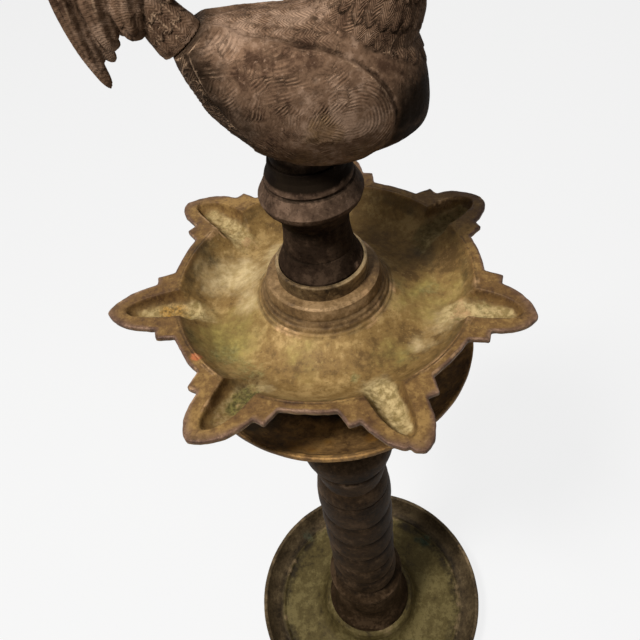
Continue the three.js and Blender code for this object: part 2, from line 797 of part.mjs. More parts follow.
// Finishes
function metal(colour, roughness) {
  return new THREE.MeshStandardMaterial({ color: colour, roughness, metalness: 0.75 });
}

const finishes = {
  agedBrass: metal(0x7d5f38, 0.55),
  darkBronze: metal(0x4a382a, 0.5),
  dullBrass: metal(0x5f4a2c, 0.6),
};

const lamp = new THREE.Group();

function place(name, geometry, finish) {
  const mesh = new THREE.Mesh(geometry, finish);
  mesh.name = name;
  lamp.add(mesh);
}

place("base_dish", baseDish(), finishes.dullBrass);
place("stem_lower", stemLower(), finishes.darkBronze);
place("stem_middle", stemMiddle(), finishes.darkBronze);
place("stem_upper", stemUpper(), finishes.darkBronze);
place("spindle", spindle(), finishes.agedBrass);
place("drip_tray", dripTray(), finishes.agedBrass);
place("oil_pan", oilPan(), finishes.agedBrass);
place("seat_ring", seatRing(), finishes.agedBrass);
place("finial_post", finialPost(), finishes.darkBronze);
place("bird_body", birdBody(), finishes.darkBronze);
place("bird_tail", birdTail(), finishes.darkBronze);
place("tang_pin", pinAlong(pinRadius, pinStartY, pinEndY), finishes.agedBrass);
place("tail_rivet", tailRivet(rivetRadius, rivetStartY, rivetEndY), finishes.agedBrass);

export default lamp;
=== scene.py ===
# %% [markdown]
# A standing oil lamp of cast brass
#
# The lamp is a stack of turned castings: a dish-shaped base, three stem sections, a drip tray,
# an oil pan with seven spouts, a ring, and a post that carries a rooster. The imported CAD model
# gives each piece its place and its motion. This script gives each piece its finished surface.
# %% Frame and units
import math

import bpy
import numpy as np
from mathutils import Matrix, Vector, noise


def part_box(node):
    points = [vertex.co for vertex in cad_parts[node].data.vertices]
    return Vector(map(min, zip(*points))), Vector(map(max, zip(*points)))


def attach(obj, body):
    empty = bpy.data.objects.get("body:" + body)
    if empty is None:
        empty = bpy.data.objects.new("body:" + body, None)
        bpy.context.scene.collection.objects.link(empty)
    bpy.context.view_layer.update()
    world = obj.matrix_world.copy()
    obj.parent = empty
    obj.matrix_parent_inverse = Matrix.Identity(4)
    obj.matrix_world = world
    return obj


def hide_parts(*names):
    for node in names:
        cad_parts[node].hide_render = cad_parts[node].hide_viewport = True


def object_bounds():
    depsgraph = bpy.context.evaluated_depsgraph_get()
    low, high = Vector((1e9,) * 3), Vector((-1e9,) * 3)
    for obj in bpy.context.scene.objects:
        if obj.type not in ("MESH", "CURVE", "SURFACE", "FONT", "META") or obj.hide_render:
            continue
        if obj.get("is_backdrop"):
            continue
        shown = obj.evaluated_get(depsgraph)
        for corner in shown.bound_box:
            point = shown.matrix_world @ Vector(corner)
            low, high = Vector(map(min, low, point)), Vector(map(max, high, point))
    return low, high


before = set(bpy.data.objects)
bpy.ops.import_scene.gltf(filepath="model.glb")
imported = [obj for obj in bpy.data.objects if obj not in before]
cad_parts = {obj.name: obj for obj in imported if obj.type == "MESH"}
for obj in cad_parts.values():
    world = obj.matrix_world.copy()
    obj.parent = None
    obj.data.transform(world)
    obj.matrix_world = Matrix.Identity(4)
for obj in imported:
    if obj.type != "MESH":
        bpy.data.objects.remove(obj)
cad_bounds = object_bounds()
MM = 0.001  # outlines are written in millimetres, and Blender works in metres


def top_of(node):
    """The height of a CAD node's highest point, in millimetres."""
    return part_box(node)[1].z / MM


base_seat = top_of("base_dish")
middle_seat = top_of("stem_lower")
upper_seat = top_of("stem_middle")
pan_seat = top_of("stem_upper")
tray_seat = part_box("drip_tray")[0].z / MM
ring_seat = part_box("seat_ring")[0].z / MM
post_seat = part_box("finial_post")[0].z / MM
post_top = top_of("finial_post")
spindle_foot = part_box("spindle")[0].z / MM
spindle_top = top_of("spindle")
print("seats:", [round(v, 1) for v in (base_seat, middle_seat, upper_seat, tray_seat, pan_seat)])

# %% [markdown]
# The camera
#
# The photograph looks down on the oil pan from close by, a little from the left, and the lamp
# leans in the picture because the camera was rolled. A camera matrix can be written as three
# unit vectors: where the picture's right, its top and its near side point in the room.
# %% Camera
camera_place = Vector((-0.00627, -0.2723, 0.86444))
picture_right = Vector((0.98709, -0.12058, -0.10547))
picture_up = Vector((0.16020, 0.74297, 0.64987))
towards_viewer = picture_right.cross(picture_up).normalized()
focal_pixels = 654.06
picture_pixels = 640

camera_data = bpy.data.cameras.new("photo_camera")
camera_data.sensor_width = 36
camera_data.lens = camera_data.sensor_width * focal_pixels / picture_pixels
camera_data.clip_start = 0.01
camera = bpy.data.objects.new("photo_camera", camera_data)
axes = Matrix((picture_right, picture_up, towards_viewer)).transposed()
camera.matrix_world = Matrix.Translation(camera_place) @ axes.to_4x4()
bpy.context.scene.collection.objects.link(camera)
bpy.context.scene.camera = camera
print("lens:", round(camera_data.lens, 2), "mm")

# %% [markdown]
# The studio
#
# A plain pale floor and three soft lamps. The main lamp hangs high at the front left, which is
# where the light on the bird and in the pan comes from. What the camera sees of the floor is
# mostly its own white, so the background stays pale without more light on the lamp.


# %% Nodes
def new_tree(data):
    """An empty node tree in a material or a world."""
    data.use_nodes = True
    data.node_tree.nodes.clear()
    return data.node_tree


def add(tree, kind, inputs=None, **settings):
    """A new node. Each input is a plain value, or a socket to link from."""
    made = tree.nodes.new(kind)
    for name, value in settings.items():
        setattr(made, name, value)
    for name, value in (inputs or {}).items():
        if isinstance(value, bpy.types.NodeSocket):
            tree.links.new(value, made.inputs[name])
        else:
            made.inputs[name].default_value = value
    return made


def maths(tree, operation, first, second=0.0):
    """One step of arithmetic on two values."""
    return add(tree, "ShaderNodeMath", {0: first, 1: second}, operation=operation).outputs[0]


def looking_rays(tree):
    """1 for rays that look at the background: from the camera, in a gloss, or through glass."""
    path = add(tree, "ShaderNodeLightPath").outputs
    shiny = maths(tree, "MAXIMUM", path["Is Glossy Ray"], path["Is Transmission Ray"])
    return maths(tree, "MAXIMUM", path["Is Camera Ray"], shiny)


# %% Floor and world
floor_size = 12.0
floor_colour = (0.6, 0.595, 0.585, 1)
floor_own_white = 0.84  # the share of the seen floor that is plain white
sky_on_the_lamp = 0.08
sky_when_seen = 1.0
white = (1, 1, 1, 1)

bpy.ops.mesh.primitive_plane_add(size=floor_size)
floor = bpy.context.object
floor.name = "floor"
floor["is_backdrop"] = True
floor_material = bpy.data.materials.new("pale_floor")
tree = new_tree(floor_material)
directly = maths(tree, "MULTIPLY", looking_rays(tree), floor_own_white)
matt = add(tree, "ShaderNodeBsdfDiffuse", {"Color": floor_colour})
glow = add(tree, "ShaderNodeEmission", {"Color": white, "Strength": 1.0})
shaders = {0: directly, 1: matt.outputs[0], 2: glow.outputs[0]}
both = add(tree, "ShaderNodeMixShader", shaders)
add(tree, "ShaderNodeOutputMaterial", {"Surface": both.outputs[0]})
floor.data.materials.append(floor_material)

world = bpy.data.worlds.new("studio")
bpy.context.scene.world = world
tree = new_tree(world)
levels = {"Value": looking_rays(tree), "To Min": sky_on_the_lamp, "To Max": sky_when_seen}
level = add(tree, "ShaderNodeMapRange", levels)
sky = add(tree, "ShaderNodeBackground", {"Color": white, "Strength": level.outputs[0]})
add(tree, "ShaderNodeOutputWorld", {"Surface": sky.outputs[0]})


# %% Lamps
def soft_lamp(name, place, target, size, watts):
    """A square area lamp at a place, turned towards a target."""
    data = bpy.data.lights.new(name, "AREA")
    data.size = size
    data.energy = watts
    lamp = bpy.data.objects.new(name, data)
    lamp.location = place
    lamp.rotation_euler = (Vector(target) - Vector(place)).to_track_quat("-Z", "Y").to_euler()
    bpy.context.scene.collection.objects.link(lamp)
    print(name, watts, "W")


pan_centre = (0, 0, 0.6)
soft_lamp("main_lamp", (-0.6, -0.46, 1.9), pan_centre, 0.28, 35)
soft_lamp("fill_lamp", (1.5, -0.9, 1.1), pan_centre, 1.2, 1)
soft_lamp("back_lamp", (-0.3, 1.6, 1.6), pan_centre, 1.2, 3)

bpy.context.scene.view_settings.view_transform = "Standard"

# %% [markdown]
# Shared finishes
#
# Old brass is one metal with several things on it: a brown tarnish that comes and goes in
# clouds, rubbed edges where the metal shows, dirt in the hollows, and the grain that the mould
# left. Each of these is a node group, so that every material can use it with its own values.


# %% A node group's frame
def new_group(name, inputs, outputs):
    """A shader node group with named sockets: each is (name, kind, value)."""
    tree = bpy.data.node_groups.new(name, "ShaderNodeTree")
    for label, kind, value in inputs:
        socket = tree.interface.new_socket(label, in_out="INPUT", socket_type="NodeSocket" + kind)
        if value is not None:
            socket.default_value = value
    for label, kind in outputs:
        tree.interface.new_socket(label, in_out="OUTPUT", socket_type="NodeSocket" + kind)
    print("node group:", name)
    given = tree.nodes.new("NodeGroupInput").outputs
    result = tree.nodes.new("NodeGroupOutput").inputs
    return tree, given, result


def ramp(tree, value, low, high):
    """A value from 0 to 1 that rises smoothly between low and high."""
    made = add(
        tree,
        "ShaderNodeMapRange",
        {"Value": value, "From Min": low, "From Max": high},
        interpolation_type="SMOOTHSTEP",
    )
    return made.outputs[0]


def blended(tree, share, first, second):
    """One colour laid over another. A colour mix has its two colours on sockets 6 and 7."""
    mixed = add(tree, "ShaderNodeMix", {0: share, 6: first, 7: second}, data_type="RGBA")
    return mixed.outputs[2]


def cloudy(tree, vector, scale, detail=5.0, rough=0.6):
    """A fractal noise, about 0 to 1."""
    made = add(
        tree,
        "ShaderNodeTexNoise",
        {"Vector": vector, "Scale": scale, "Detail": detail, "Roughness": rough},
    )
    return made.outputs["Fac"]


# %% [markdown]
# Tarnish
#
# The colour of the metal wanders between a dark, a middle and a light tone. One slow noise
# makes the big patches and a quick one breaks them up, as dried oil and handling do. Small
# flecks of the dark and the light tone lie over them, one to two millimetres across.
# %% Tarnish group
tree, given, result = new_group(
    "Tarnish",
    [
        ("Vector", "Vector", None),
        ("Patches", "Float", 30.0),
        ("Dark", "Color", (0.1, 0.07, 0.04, 1)),
        ("Middle", "Color", (0.2, 0.14, 0.08, 1)),
        ("Light", "Color", (0.35, 0.25, 0.13, 1)),
    ],
    [("Color", "Color"), ("Cloud", "Float")],
)
quick_scale = 7.0
quick_share = 0.4
slow = cloudy(tree, given["Vector"], given["Patches"], 4.0, 0.62)
finer = maths(tree, "MULTIPLY", given["Patches"], quick_scale)
quick = cloudy(tree, given["Vector"], finer, 5.0, 0.7)
slow_part = maths(tree, "MULTIPLY", slow, 1 - quick_share)
mixed = maths(tree, "ADD", slow_part, maths(tree, "MULTIPLY", quick, quick_share))
low_half = blended(tree, ramp(tree, mixed, 0.38, 0.5), given["Dark"], given["Middle"])
colour = blended(tree, ramp(tree, mixed, 0.49, 0.6), low_half, given["Light"])
# A fleck's tone, its noise scale, where in the noise it starts and is full, and its strength.
flecks = (("Dark", 620.0, 0.58, 0.7, 0.6), ("Light", 480.0, 0.6, 0.72, 0.55))
for shade, scale, start, full, strength in flecks:
    fleck = cloudy(tree, given["Vector"], scale, 3.0, 0.6)
    few = maths(tree, "MULTIPLY", ramp(tree, fleck, start, full), strength)
    colour = blended(tree, few, colour, given[shade])
tree.links.new(colour, result["Color"])
tree.links.new(mixed, result["Cloud"])

# %% [markdown]
# Rubbed edges
#
# Each mesh carries an attribute named ridge, which is 1 on its sharp edges. The group breaks
# that line up with noise, because real edges are rubbed bright only here and there.
# %% Rubbed group
tree, given, result = new_group(
    "Rubbed edges",
    [
        ("Vector", "Vector", None),
        ("Ridge", "Float", 0.0),
        ("Amount", "Float", 0.6),
    ],
    [("Mask", "Float")],
)
broken = cloudy(tree, given["Vector"], 190.0, 5.0, 0.7)
stretch = cloudy(tree, given["Vector"], 28.0, 3.0, 0.6)
chance = maths(tree, "MULTIPLY", ramp(tree, stretch, 0.38, 0.64), broken)
strength = maths(tree, "MULTIPLY", given["Ridge"], given["Amount"])
mask = ramp(tree, maths(tree, "ADD", maths(tree, "MULTIPLY", strength, 0.5), chance), 0.52, 0.95)
mask = maths(tree, "MULTIPLY", mask, ramp(tree, given["Ridge"], 0.05, 0.5))
tree.links.new(mask, result["Mask"])

# %% [markdown]
# Cast grain
#
# The skin of a sand or wax casting is grainy, with small pits. The height feeds a bump node,
# and the pits also hold dark dirt, so the group gives out a mask for them.
# %% Grain group
tree, given, result = new_group(
    "Cast grain",
    [("Vector", "Vector", None), ("Size", "Float", 400.0), ("Pits", "Float", 0.3)],
    [("Height", "Float"), ("Pit mask", "Float")],
)
grain = cloudy(tree, given["Vector"], given["Size"], 4.0, 0.65)
cells = add(
    tree,
    "ShaderNodeTexVoronoi",
    {"Vector": given["Vector"], "Scale": maths(tree, "MULTIPLY", given["Size"], 0.45)},
)
deep = maths(tree, "SUBTRACT", 1.0, ramp(tree, cells.outputs["Distance"], 0.08, 0.34))
regions = cloudy(tree, given["Vector"], maths(tree, "MULTIPLY", given["Size"], 0.12))
where = ramp(tree, regions, 0.5, 0.66)
pit = maths(tree, "MULTIPLY", maths(tree, "MULTIPLY", deep, where), given["Pits"])
tree.links.new(maths(tree, "SUBTRACT", grain, pit), result["Height"])
tree.links.new(pit, result["Pit mask"])

# %% [markdown]
# Turning marks
#
# A piece that was turned has fine rings from the tool. They depend only on how far a point is
# from the axis and how high it is, so a one-dimensional noise along that sum draws them.
# %% Turning marks group
tree, given, result = new_group(
    "Turning marks",
    [("Vector", "Vector", None), ("Rings", "Float", 900.0)],
    [("Height", "Float")],
)
parts = add(tree, "ShaderNodeSeparateXYZ", {0: given["Vector"]}).outputs
flat = add(tree, "ShaderNodeCombineXYZ", {"X": parts["X"], "Y": parts["Y"]}).outputs[0]
out = add(tree, "ShaderNodeVectorMath", {0: flat}, operation="LENGTH").outputs["Value"]
along = maths(tree, "MULTIPLY", maths(tree, "ADD", out, parts["Z"]), given["Rings"])
rings = add(
    tree,
    "ShaderNodeTexNoise",
    {"W": along, "Scale": 1.0, "Detail": 3.0, "Roughness": 0.6},
    noise_dimensions="1D",
)
tree.links.new(rings.outputs["Fac"], result["Height"])

# %% [markdown]
# Stains
#
# Dried oil, green salts and soot lie on the brass in patches, and painted shade is laid in the
# same way. A stain is a colour and a mask: the painted amount says where it may be, and noise
# gives the patch a ragged, clouded edge.
# %% Stain group
tree, given, result = new_group(
    "Stain",
    [
        ("Vector", "Vector", None),
        ("Amount", "Float", 0.0),
        ("Size", "Float", 90.0),
        ("First", "Color", (0.5, 0.4, 0.2, 1)),
        ("Second", "Color", (0.2, 0.2, 0.08, 1)),
    ],
    [("Mask", "Float"), ("Color", "Color"), ("Height", "Float")],
)
patch = cloudy(tree, given["Vector"], given["Size"], 6.0, 0.68)
ragged = maths(tree, "MULTIPLY", maths(tree, "SUBTRACT", patch, 0.5), 1.8)
mask = ramp(tree, maths(tree, "ADD", given["Amount"], ragged), 0.15, 0.95)
mask = maths(tree, "MULTIPLY", mask, ramp(tree, given["Amount"], 0.02, 0.3))
lumps = cloudy(tree, given["Vector"], maths(tree, "MULTIPLY", given["Size"], 3.1), 6.0, 0.7)
either = blended(tree, ramp(tree, lumps, 0.36, 0.66), given["Second"], given["First"])
tree.links.new(mask, result["Mask"])
tree.links.new(either, result["Color"])
tree.links.new(maths(tree, "MULTIPLY", lumps, mask), result["Height"])

# %% [markdown]
# The brass materials
#
# All the pieces are one alloy, so one class makes their materials. A finish starts as a
# tarnish of three tones. It then takes more layers where the mesh says so: another tarnish, or
# a stain, which may also stand up as a crust.
# %% Layers of a finish
def tone(red, green, blue):
    """A colour of tarnish, as the share of light that it gives back."""
    return (red, green, blue, 1)


dirt = tone(0.012, 0.008, 0.005)


class Finish:
    """A tarnished brass that is built up in layers, before a shader closes it."""

    def __init__(self, name, tones, patches):
        self.material = bpy.data.materials.new(name)
        self.tree = new_tree(self.material)
        self.place = add(self.tree, "ShaderNodeTexCoord").outputs["Object"]
        base = self.tarnish(tones, patches)
        self.colour = base["Color"]
        self.cloud = base["Cloud"]
        self.crusted = None
        self.height = None

    def group(self, name, inputs):
        """One of the shared node groups, fed with this finish's own values."""
        fed = {"Vector": self.place, **inputs}
        group = bpy.data.node_groups[name]
        return add(self.tree, "ShaderNodeGroup", fed, node_tree=group).outputs

    def tarnish(self, tones, patches):
        """A tarnish from a dark, a middle and a light tone."""
        dark, middle, light = (tone(*colour) for colour in tones)
        shades = {"Dark": dark, "Middle": middle, "Light": light}
        return self.group("Tarnish", {"Patches": patches, **shades})

    def painted(self, name):
        """The amount that is stored on the mesh under a name."""
        return add(self.tree, "ShaderNodeAttribute", attribute_name=name).outputs["Fac"]

    def tones(self, name, tones, patches):
        """Another tarnish where the mesh says so."""
        over = self.tarnish(tones, patches)
        self.colour = blended(self.tree, self.painted(name), self.colour, over["Color"])

    def stain(self, name, first, second, size, strength, relief=0.0):
        """A ragged stain where the mesh says so. relief is how thick it lies."""
        amount = maths(self.tree, "MULTIPLY", self.painted(name), strength)
        colours = {"First": tone(*first), "Second": tone(*second)}
        over = self.group("Stain", {"Amount": amount, "Size": size, **colours})
        self.colour = blended(self.tree, over["Mask"], self.colour, over["Color"])
        if not relief:
            return
        self.raise_by(over["Height"], relief)
        if self.crusted:
            self.crusted = maths(self.tree, "MAXIMUM", self.crusted, over["Mask"])
        else:
            self.crusted = over["Mask"]

    def raise_by(self, height, amount):
        """Adds a relief to what the bump node will see."""
        more = maths(self.tree, "MULTIPLY", height, amount)
        self.height = maths(self.tree, "ADD", self.height, more) if self.height else more


# %% [markdown]
# Closing a finish
#
# Over its layers a piece has dirt in its hollows and pits, rubbed edges, and the grain of its
# skin. Tarnish is no metal, so the surface is only partly metallic, and the rubbed places are
# more so. Crust is rough and not metallic at all. The rooster also has the fine lines of its
# feathers: rubbed on their crests here and there, and dark between them.
# %% Close a finish
bump_distance = 0.0006


def feather_lines(finish, colour, worn, depth):
    """Fine lines where the mesh is feathered. barbs on the mesh counts them."""
    tree = finish.tree
    turn = maths(tree, "MULTIPLY", finish.painted("barbs"), 2 * math.pi)
    wave = maths(tree, "MULTIPLY", maths(tree, "SINE", turn), finish.painted("feathered"))
    finish.raise_by(wave, depth)
    patchy = ramp(tree, cloudy(tree, finish.place, 95.0, 4.0, 0.65), 0.42, 0.66)
    crest = maths(tree, "MULTIPLY", ramp(tree, wave, 0.3, 1.0), patchy)
    colour = blended(tree, maths(tree, "MULTIPLY", crest, 0.5), colour, worn)
    trough = maths(tree, "MULTIPLY", ramp(tree, wave, -0.2, -1.0), 0.55)
    return blended(tree, trough, colour, dirt)


def metal_and_roughness(finish, rubbed, metal, rough):
    """How metallic and how rough each place is. Rubbed places are bright, and crust is dull."""
    tree = finish.tree
    metallic = maths(tree, "ADD", metal, maths(tree, "MULTIPLY", rubbed, 0.3))
    uneven = maths(tree, "MULTIPLY", maths(tree, "SUBTRACT", finish.cloud, 0.5), 0.5)
    roughness = maths(tree, "ADD", rough, uneven)
    roughness = maths(tree, "SUBTRACT", roughness, maths(tree, "MULTIPLY", rubbed, 0.12))
    if finish.crusted:
        bare = maths(tree, "SUBTRACT", 1.0, finish.crusted)
        metallic = maths(tree, "MULTIPLY", metallic, bare)
        roughness = maths(tree, "ADD", roughness, maths(tree, "MULTIPLY", finish.crusted, 0.3))
    return metallic, roughness


def finished(
    finish, worn, rubbed, rough, metal, specular, bump=0.3, rings=0, pits=0.3, lines=0, dirty=0.9
):
    """A finish with its dirt, worn edges, grain and shader: the material that a piece takes."""
    tree = finish.tree
    worn = tone(*worn)
    deep = maths(tree, "MULTIPLY", finish.painted("hollow"), ramp(tree, finish.cloud, 0.66, 0.4))
    deep = maths(tree, "MULTIPLY", deep, dirty)
    if finish.crusted:
        deep = maths(tree, "MULTIPLY", deep, ramp(tree, finish.crusted, 0.5, 0.0))
    colour = blended(tree, deep, finish.colour, dirt)
    skin = finish.group("Cast grain", {"Pits": pits})
    colour = blended(tree, maths(tree, "MULTIPLY", skin["Pit mask"], 1.4), colour, dirt)
    edges = finish.group("Rubbed edges", {"Ridge": finish.painted("ridge"), "Amount": rubbed})
    colour = blended(tree, edges["Mask"], colour, worn)
    finish.raise_by(skin["Height"], 1.0)
    if lines:
        colour = feather_lines(finish, colour, worn, lines)
    if rings:
        finish.raise_by(finish.group("Turning marks", {})["Height"], rings)
    metallic, roughness = metal_and_roughness(finish, edges["Mask"], metal, rough)
    raised = {"Height": finish.height, "Strength": bump, "Distance": bump_distance}
    relief = add(tree, "ShaderNodeBump", raised)
    shader = add(
        tree,
        "ShaderNodeBsdfPrincipled",
        {
            "Base Color": colour,
            "Metallic": metallic,
            "Roughness": roughness,
            "Specular IOR Level": specular,
            "Normal": relief.outputs[0],
        },
    )
    add(tree, "ShaderNodeOutputMaterial", {"Surface": shader.outputs[0]})
    print("finish:", finish.material.name)
    return finish.material


# %% [markdown]
# Tones
#
# A lamp like this takes a different tone wherever oil, hands and smoke reach it differently.
# Stem and post are a dark brown bronze, the pan is golden where oil has kept the air off, the
# base has gone green-brown with a browner wall, and painted shade makes the tray dark where the
# pan's shadow falls.
# %% Tones of the metal
dark_tones = ((0.01, 0.006, 0.004), (0.024, 0.0145, 0.009), (0.055, 0.034, 0.021))
collar_tones = ((0.035, 0.021, 0.014), (0.085, 0.052, 0.033), (0.16, 0.1, 0.065))
stem_tones = ((0.012, 0.007, 0.0035), (0.031, 0.018, 0.009), (0.068, 0.041, 0.022))
flange_tones = ((0.07, 0.034, 0.014), (0.135, 0.072, 0.024), (0.24, 0.14, 0.046))
bevel_tones = ((0.05, 0.027, 0.018), (0.1, 0.055, 0.035), (0.2, 0.12, 0.075))
floor_tones = ((0.1, 0.056, 0.018), (0.195, 0.115, 0.037), (0.33, 0.215, 0.082))
boss_tones = ((0.08, 0.044, 0.019), (0.152, 0.09, 0.038), (0.26, 0.162, 0.076))
tray_tones = ((0.064, 0.032, 0.013), (0.175, 0.095, 0.034), (0.36, 0.2, 0.066))
wall_tones = ((0.034, 0.023, 0.012), (0.078, 0.053, 0.027), (0.14, 0.098, 0.05))
green_tones = ((0.036, 0.025, 0.009), (0.085, 0.062, 0.021), (0.15, 0.115, 0.044))
ring_tones = ((0.04, 0.024, 0.011), (0.1, 0.062, 0.028), (0.18, 0.12, 0.056))
bird_tones = ((0.055, 0.03, 0.018), (0.135, 0.079, 0.047), (0.25, 0.16, 0.105))
bright_tones = ((0.16, 0.1, 0.04), (0.32, 0.21, 0.085), (0.5, 0.35, 0.15))

# %% [markdown]
# Finishes of the turned pieces and the rooster
#
# A finish names its tones, then its stains, and last how worn, rough and metallic it is. A
# stain has two colours, the scale of its ragged edge and its strength. The nearly black stain
# is soot in some places and painted shade in others, where shadow falls on the lamp, and
# verdigris is the green salt that grows on brass.
# %% Finishes
layers = Finish("base_brass", green_tones, 26)
layers.tones("wall", wall_tones, 40)
layers.stain("verdigris", (0.09, 0.12, 0.075), (0.04, 0.05, 0.03), 60, 1.0, relief=0.6)
base_finish = finished(
    layers, (0.22, 0.15, 0.08), rubbed=0.45, rough=0.58, metal=0.2, specular=0.1, rings=0.4
)

layers = Finish("stem_brass", stem_tones, 34)
stem_finish = finished(
    layers, (0.12, 0.074, 0.042), rubbed=0.45, rough=0.56, metal=0.12, specular=0.015, rings=0.5
)

layers = Finish("tray_brass", tray_tones, 34)
layers.stain("rust", (0.4, 0.19, 0.035), (0.22, 0.1, 0.025), 60, 0.8)
# Painted shade: the tray is painted nearly black where the pan's shadow falls in it.
layers.stain("soot_and_shade", (0.03, 0.017, 0.008), (0.016, 0.01, 0.005), 45, 1.0)
tray_finish = finished(
    layers, (0.2, 0.12, 0.055), rubbed=0.25, rough=0.55, metal=0.18, specular=0.06, rings=0.4
)

layers = Finish("ring_brass", ring_tones, 60)
ring_finish = finished(
    layers, (0.36, 0.25, 0.125), rubbed=0.8, rough=0.5, metal=0.3, specular=0.15, rings=0.5
)

layers = Finish("post_brass", dark_tones, 40)
layers.tones("collar", collar_tones, 60)
# Painted shade: the post's neck under the bird and its side away from the main lamp are painted
# nearly black.
layers.stain("soot_and_shade", (0.012, 0.008, 0.005), (0.006, 0.004, 0.003), 40, 1.0)
post_finish = finished(
    layers, (0.2, 0.125, 0.08), rubbed=0.35, rough=0.52, metal=0.12, specular=0.0, rings=0.6
)

layers = Finish("bird_brass", bird_tones, 36)
layers.stain("gold", (0.21, 0.125, 0.058), (0.11, 0.064, 0.031), 60, 0.6)
# Painted shade: the bird's belly, breast, rump and front are painted nearly black where they turn
# from the main lamp.
layers.stain("soot_and_shade", (0.02, 0.0125, 0.0075), (0.01, 0.0065, 0.004), 40, 1.0)
worn = (0.36, 0.235, 0.145)
bird_finish = finished(
    layers, worn, rubbed=0.5, rough=0.52, metal=0.15, specular=0.0, bump=0.5, lines=0.5
)

layers = Finish("screw_brass", bright_tones, 60)
screw_finish = finished(
    layers, (0.6, 0.44, 0.22), rubbed=0.8, rough=0.38, metal=0.6, specular=0.3, rings=0.8
)

# %% [markdown]
# The pan's finish
#
# The pan has the most on it. Oil has kept its floor golden, and over that lie pale dried oil,
# olive and green salts, soot and one spot of red rust. The pale patches are also a painted
# highlight where the main lamp lights the floor most, and the soot is also painted shade under
# the rim and where the bird's shadow falls. In the spouts are thick crust, a moss-green scale
# and amber lumps. The last column is how thick the stain lies.
# %% Finish of the pan
pan_stains = (
    # Pale dried oil, laid also as a painted highlight where the main lamp lights the floor most.
    ("pale", (0.54, 0.41, 0.215), (0.36, 0.26, 0.115), 48, 0.9, 0.0),
    ("olive", (0.28, 0.215, 0.06), (0.16, 0.115, 0.032), 60, 0.9, 0.0),
    ("green", (0.3, 0.26, 0.1), (0.09, 0.085, 0.03), 190, 0.9, 0.0),
    # Soot, and painted shade under the rim and in the bird's shadow.
    ("soot_and_shade", (0.04, 0.024, 0.009), (0.022, 0.014, 0.006), 60, 0.9, 0.0),
    ("crust", (0.43, 0.32, 0.15), (0.18, 0.125, 0.045), 85, 1.0, 0.7),
    ("moss", (0.15, 0.125, 0.036), (0.05, 0.04, 0.013), 170, 1.0, 0.5),
    ("amber", (0.38, 0.2, 0.04), (0.11, 0.065, 0.02), 170, 1.0, 1.2),
    ("rust", (0.45, 0.13, 0.045), (0.3, 0.1, 0.04), 240, 1.2, 0.0),
)
layers = Finish("pan_brass", flange_tones, 38)
layers.tones("bevel", bevel_tones, 60)
layers.tones("boss", boss_tones, 45)
layers.tones("oiled", floor_tones, 30)
for stain in pan_stains:
    layers.stain(*stain)
own = {"bump": 0.35, "rings": 0.2, "pits": 0.25, "dirty": 0.5}
pan_finish = finished(
    layers, (0.38, 0.23, 0.11), rubbed=0.45, rough=0.55, metal=0.15, specular=0.12, **own
)

# %% [markdown]
# Turned pieces
#
# Most of the lamp was turned on a lathe, so a piece is an outline in the plane of radius and
# height, swept round the axis. The outline is drawn with lines and curves, its corners are
# rounded as worn castings are, and long runs are divided so that the surface can be uneven.


# %% Curves
def quadratic(a, b, c, steps):
    """Points on a curve through one control point, without the first."""
    for step in range(1, steps + 1):
        t = step / steps
        yield a * (1 - t) ** 2 + b * 2 * t * (1 - t) + c * t * t


def cubic(a, b, c, d, steps):
    """Points on a curve through two control points, without the first."""
    for step in range(1, steps + 1):
        t = step / steps
        u = 1 - t
        yield a * u**3 + b * 3 * u * u * t + c * 3 * u * t * t + d * t**3


# %% Outline
corner_least = math.radians(14)  # a smaller turn is part of a curve and stays as it is
corner_steps = 4


class Outline:
    """A closed line in the plane of radius and height, in millimetres, drawn anticlockwise."""

    def __init__(self, radius, height):
        self.points = [Vector((radius, height))]

    def line(self, radius, height):
        """A straight line to a new point."""
        self.points.append(Vector((radius, height)))
        return self

    def curve(self, control_radius, control_height, radius, height, steps=12):
        """A round hollow or swelling through one control point."""
        start, end = self.points[-1], Vector((radius, height))
        control = Vector((control_radius, control_height))
        self.points.extend(quadratic(start, control, end, steps))
        return self

    def swell(self, bulge, radius, height, steps=16):
        """A swelling that reaches the radius bulge about half way to its end."""
        start, end = self.points[-1], Vector((radius, height))
        rise = (height - start.y) * 0.2
        first = Vector((start.x + (bulge - start.x) / 0.75, start.y + rise))
        second = Vector((radius + (bulge - radius) / 0.75, height - rise))
        self.points.extend(cubic(start, first, second, end, steps))
        return self


def softened(points, radius, closed=True):
    """The same line with every real corner rounded off."""
    made = []
    count = len(points)
    for i, here in enumerate(points):
        if not closed and i in (0, count - 1):
            made.append(here)
            continue
        before, after = points[i - 1] - here, points[(i + 1) % count] - here
        if before.length < 1e-9 or after.length < 1e-9:
            continue
        turn = math.pi - before.angle(after)
        if turn < corner_least:
            made.append(here)
            continue
        cut = min(radius * math.tan(turn / 2), 0.45 * before.length, 0.45 * after.length)
        start, end = here + before.normalized() * cut, here + after.normalized() * cut
        made.append(start)
        made.extend(quadratic(start, here, end, corner_steps))
    return made


def divided(points, longest, closed=True):
    """The same line with points added where two of them are far apart."""
    made = []
    count = len(points)
    for i, here in enumerate(points):
        made.append(here)
        if i == count - 1 and not closed:
            break
        there = points[(i + 1) % count]
        parts = math.ceil((there - here).length / longest)
        made.extend(here.lerp(there, k / parts) for k in range(1, parts))
    return made


# %% [markdown]
# From points to a piece
#
# Every piece is made the same way: a mesh, a little unevenness, two attributes that tell the
# materials where the edges and the hollows are, and a place on one of the CAD's bodies. First
# come the helpers for smooth steps, round spots and noise, which paint and carve the pieces.


# %% Steps, spots and noise
def ease(low, high, value):
    """0 below low, 1 above high, and smooth between."""
    share = np.clip((value - low) / (high - low), 0, 1)
    return share * share * (3 - 2 * share)


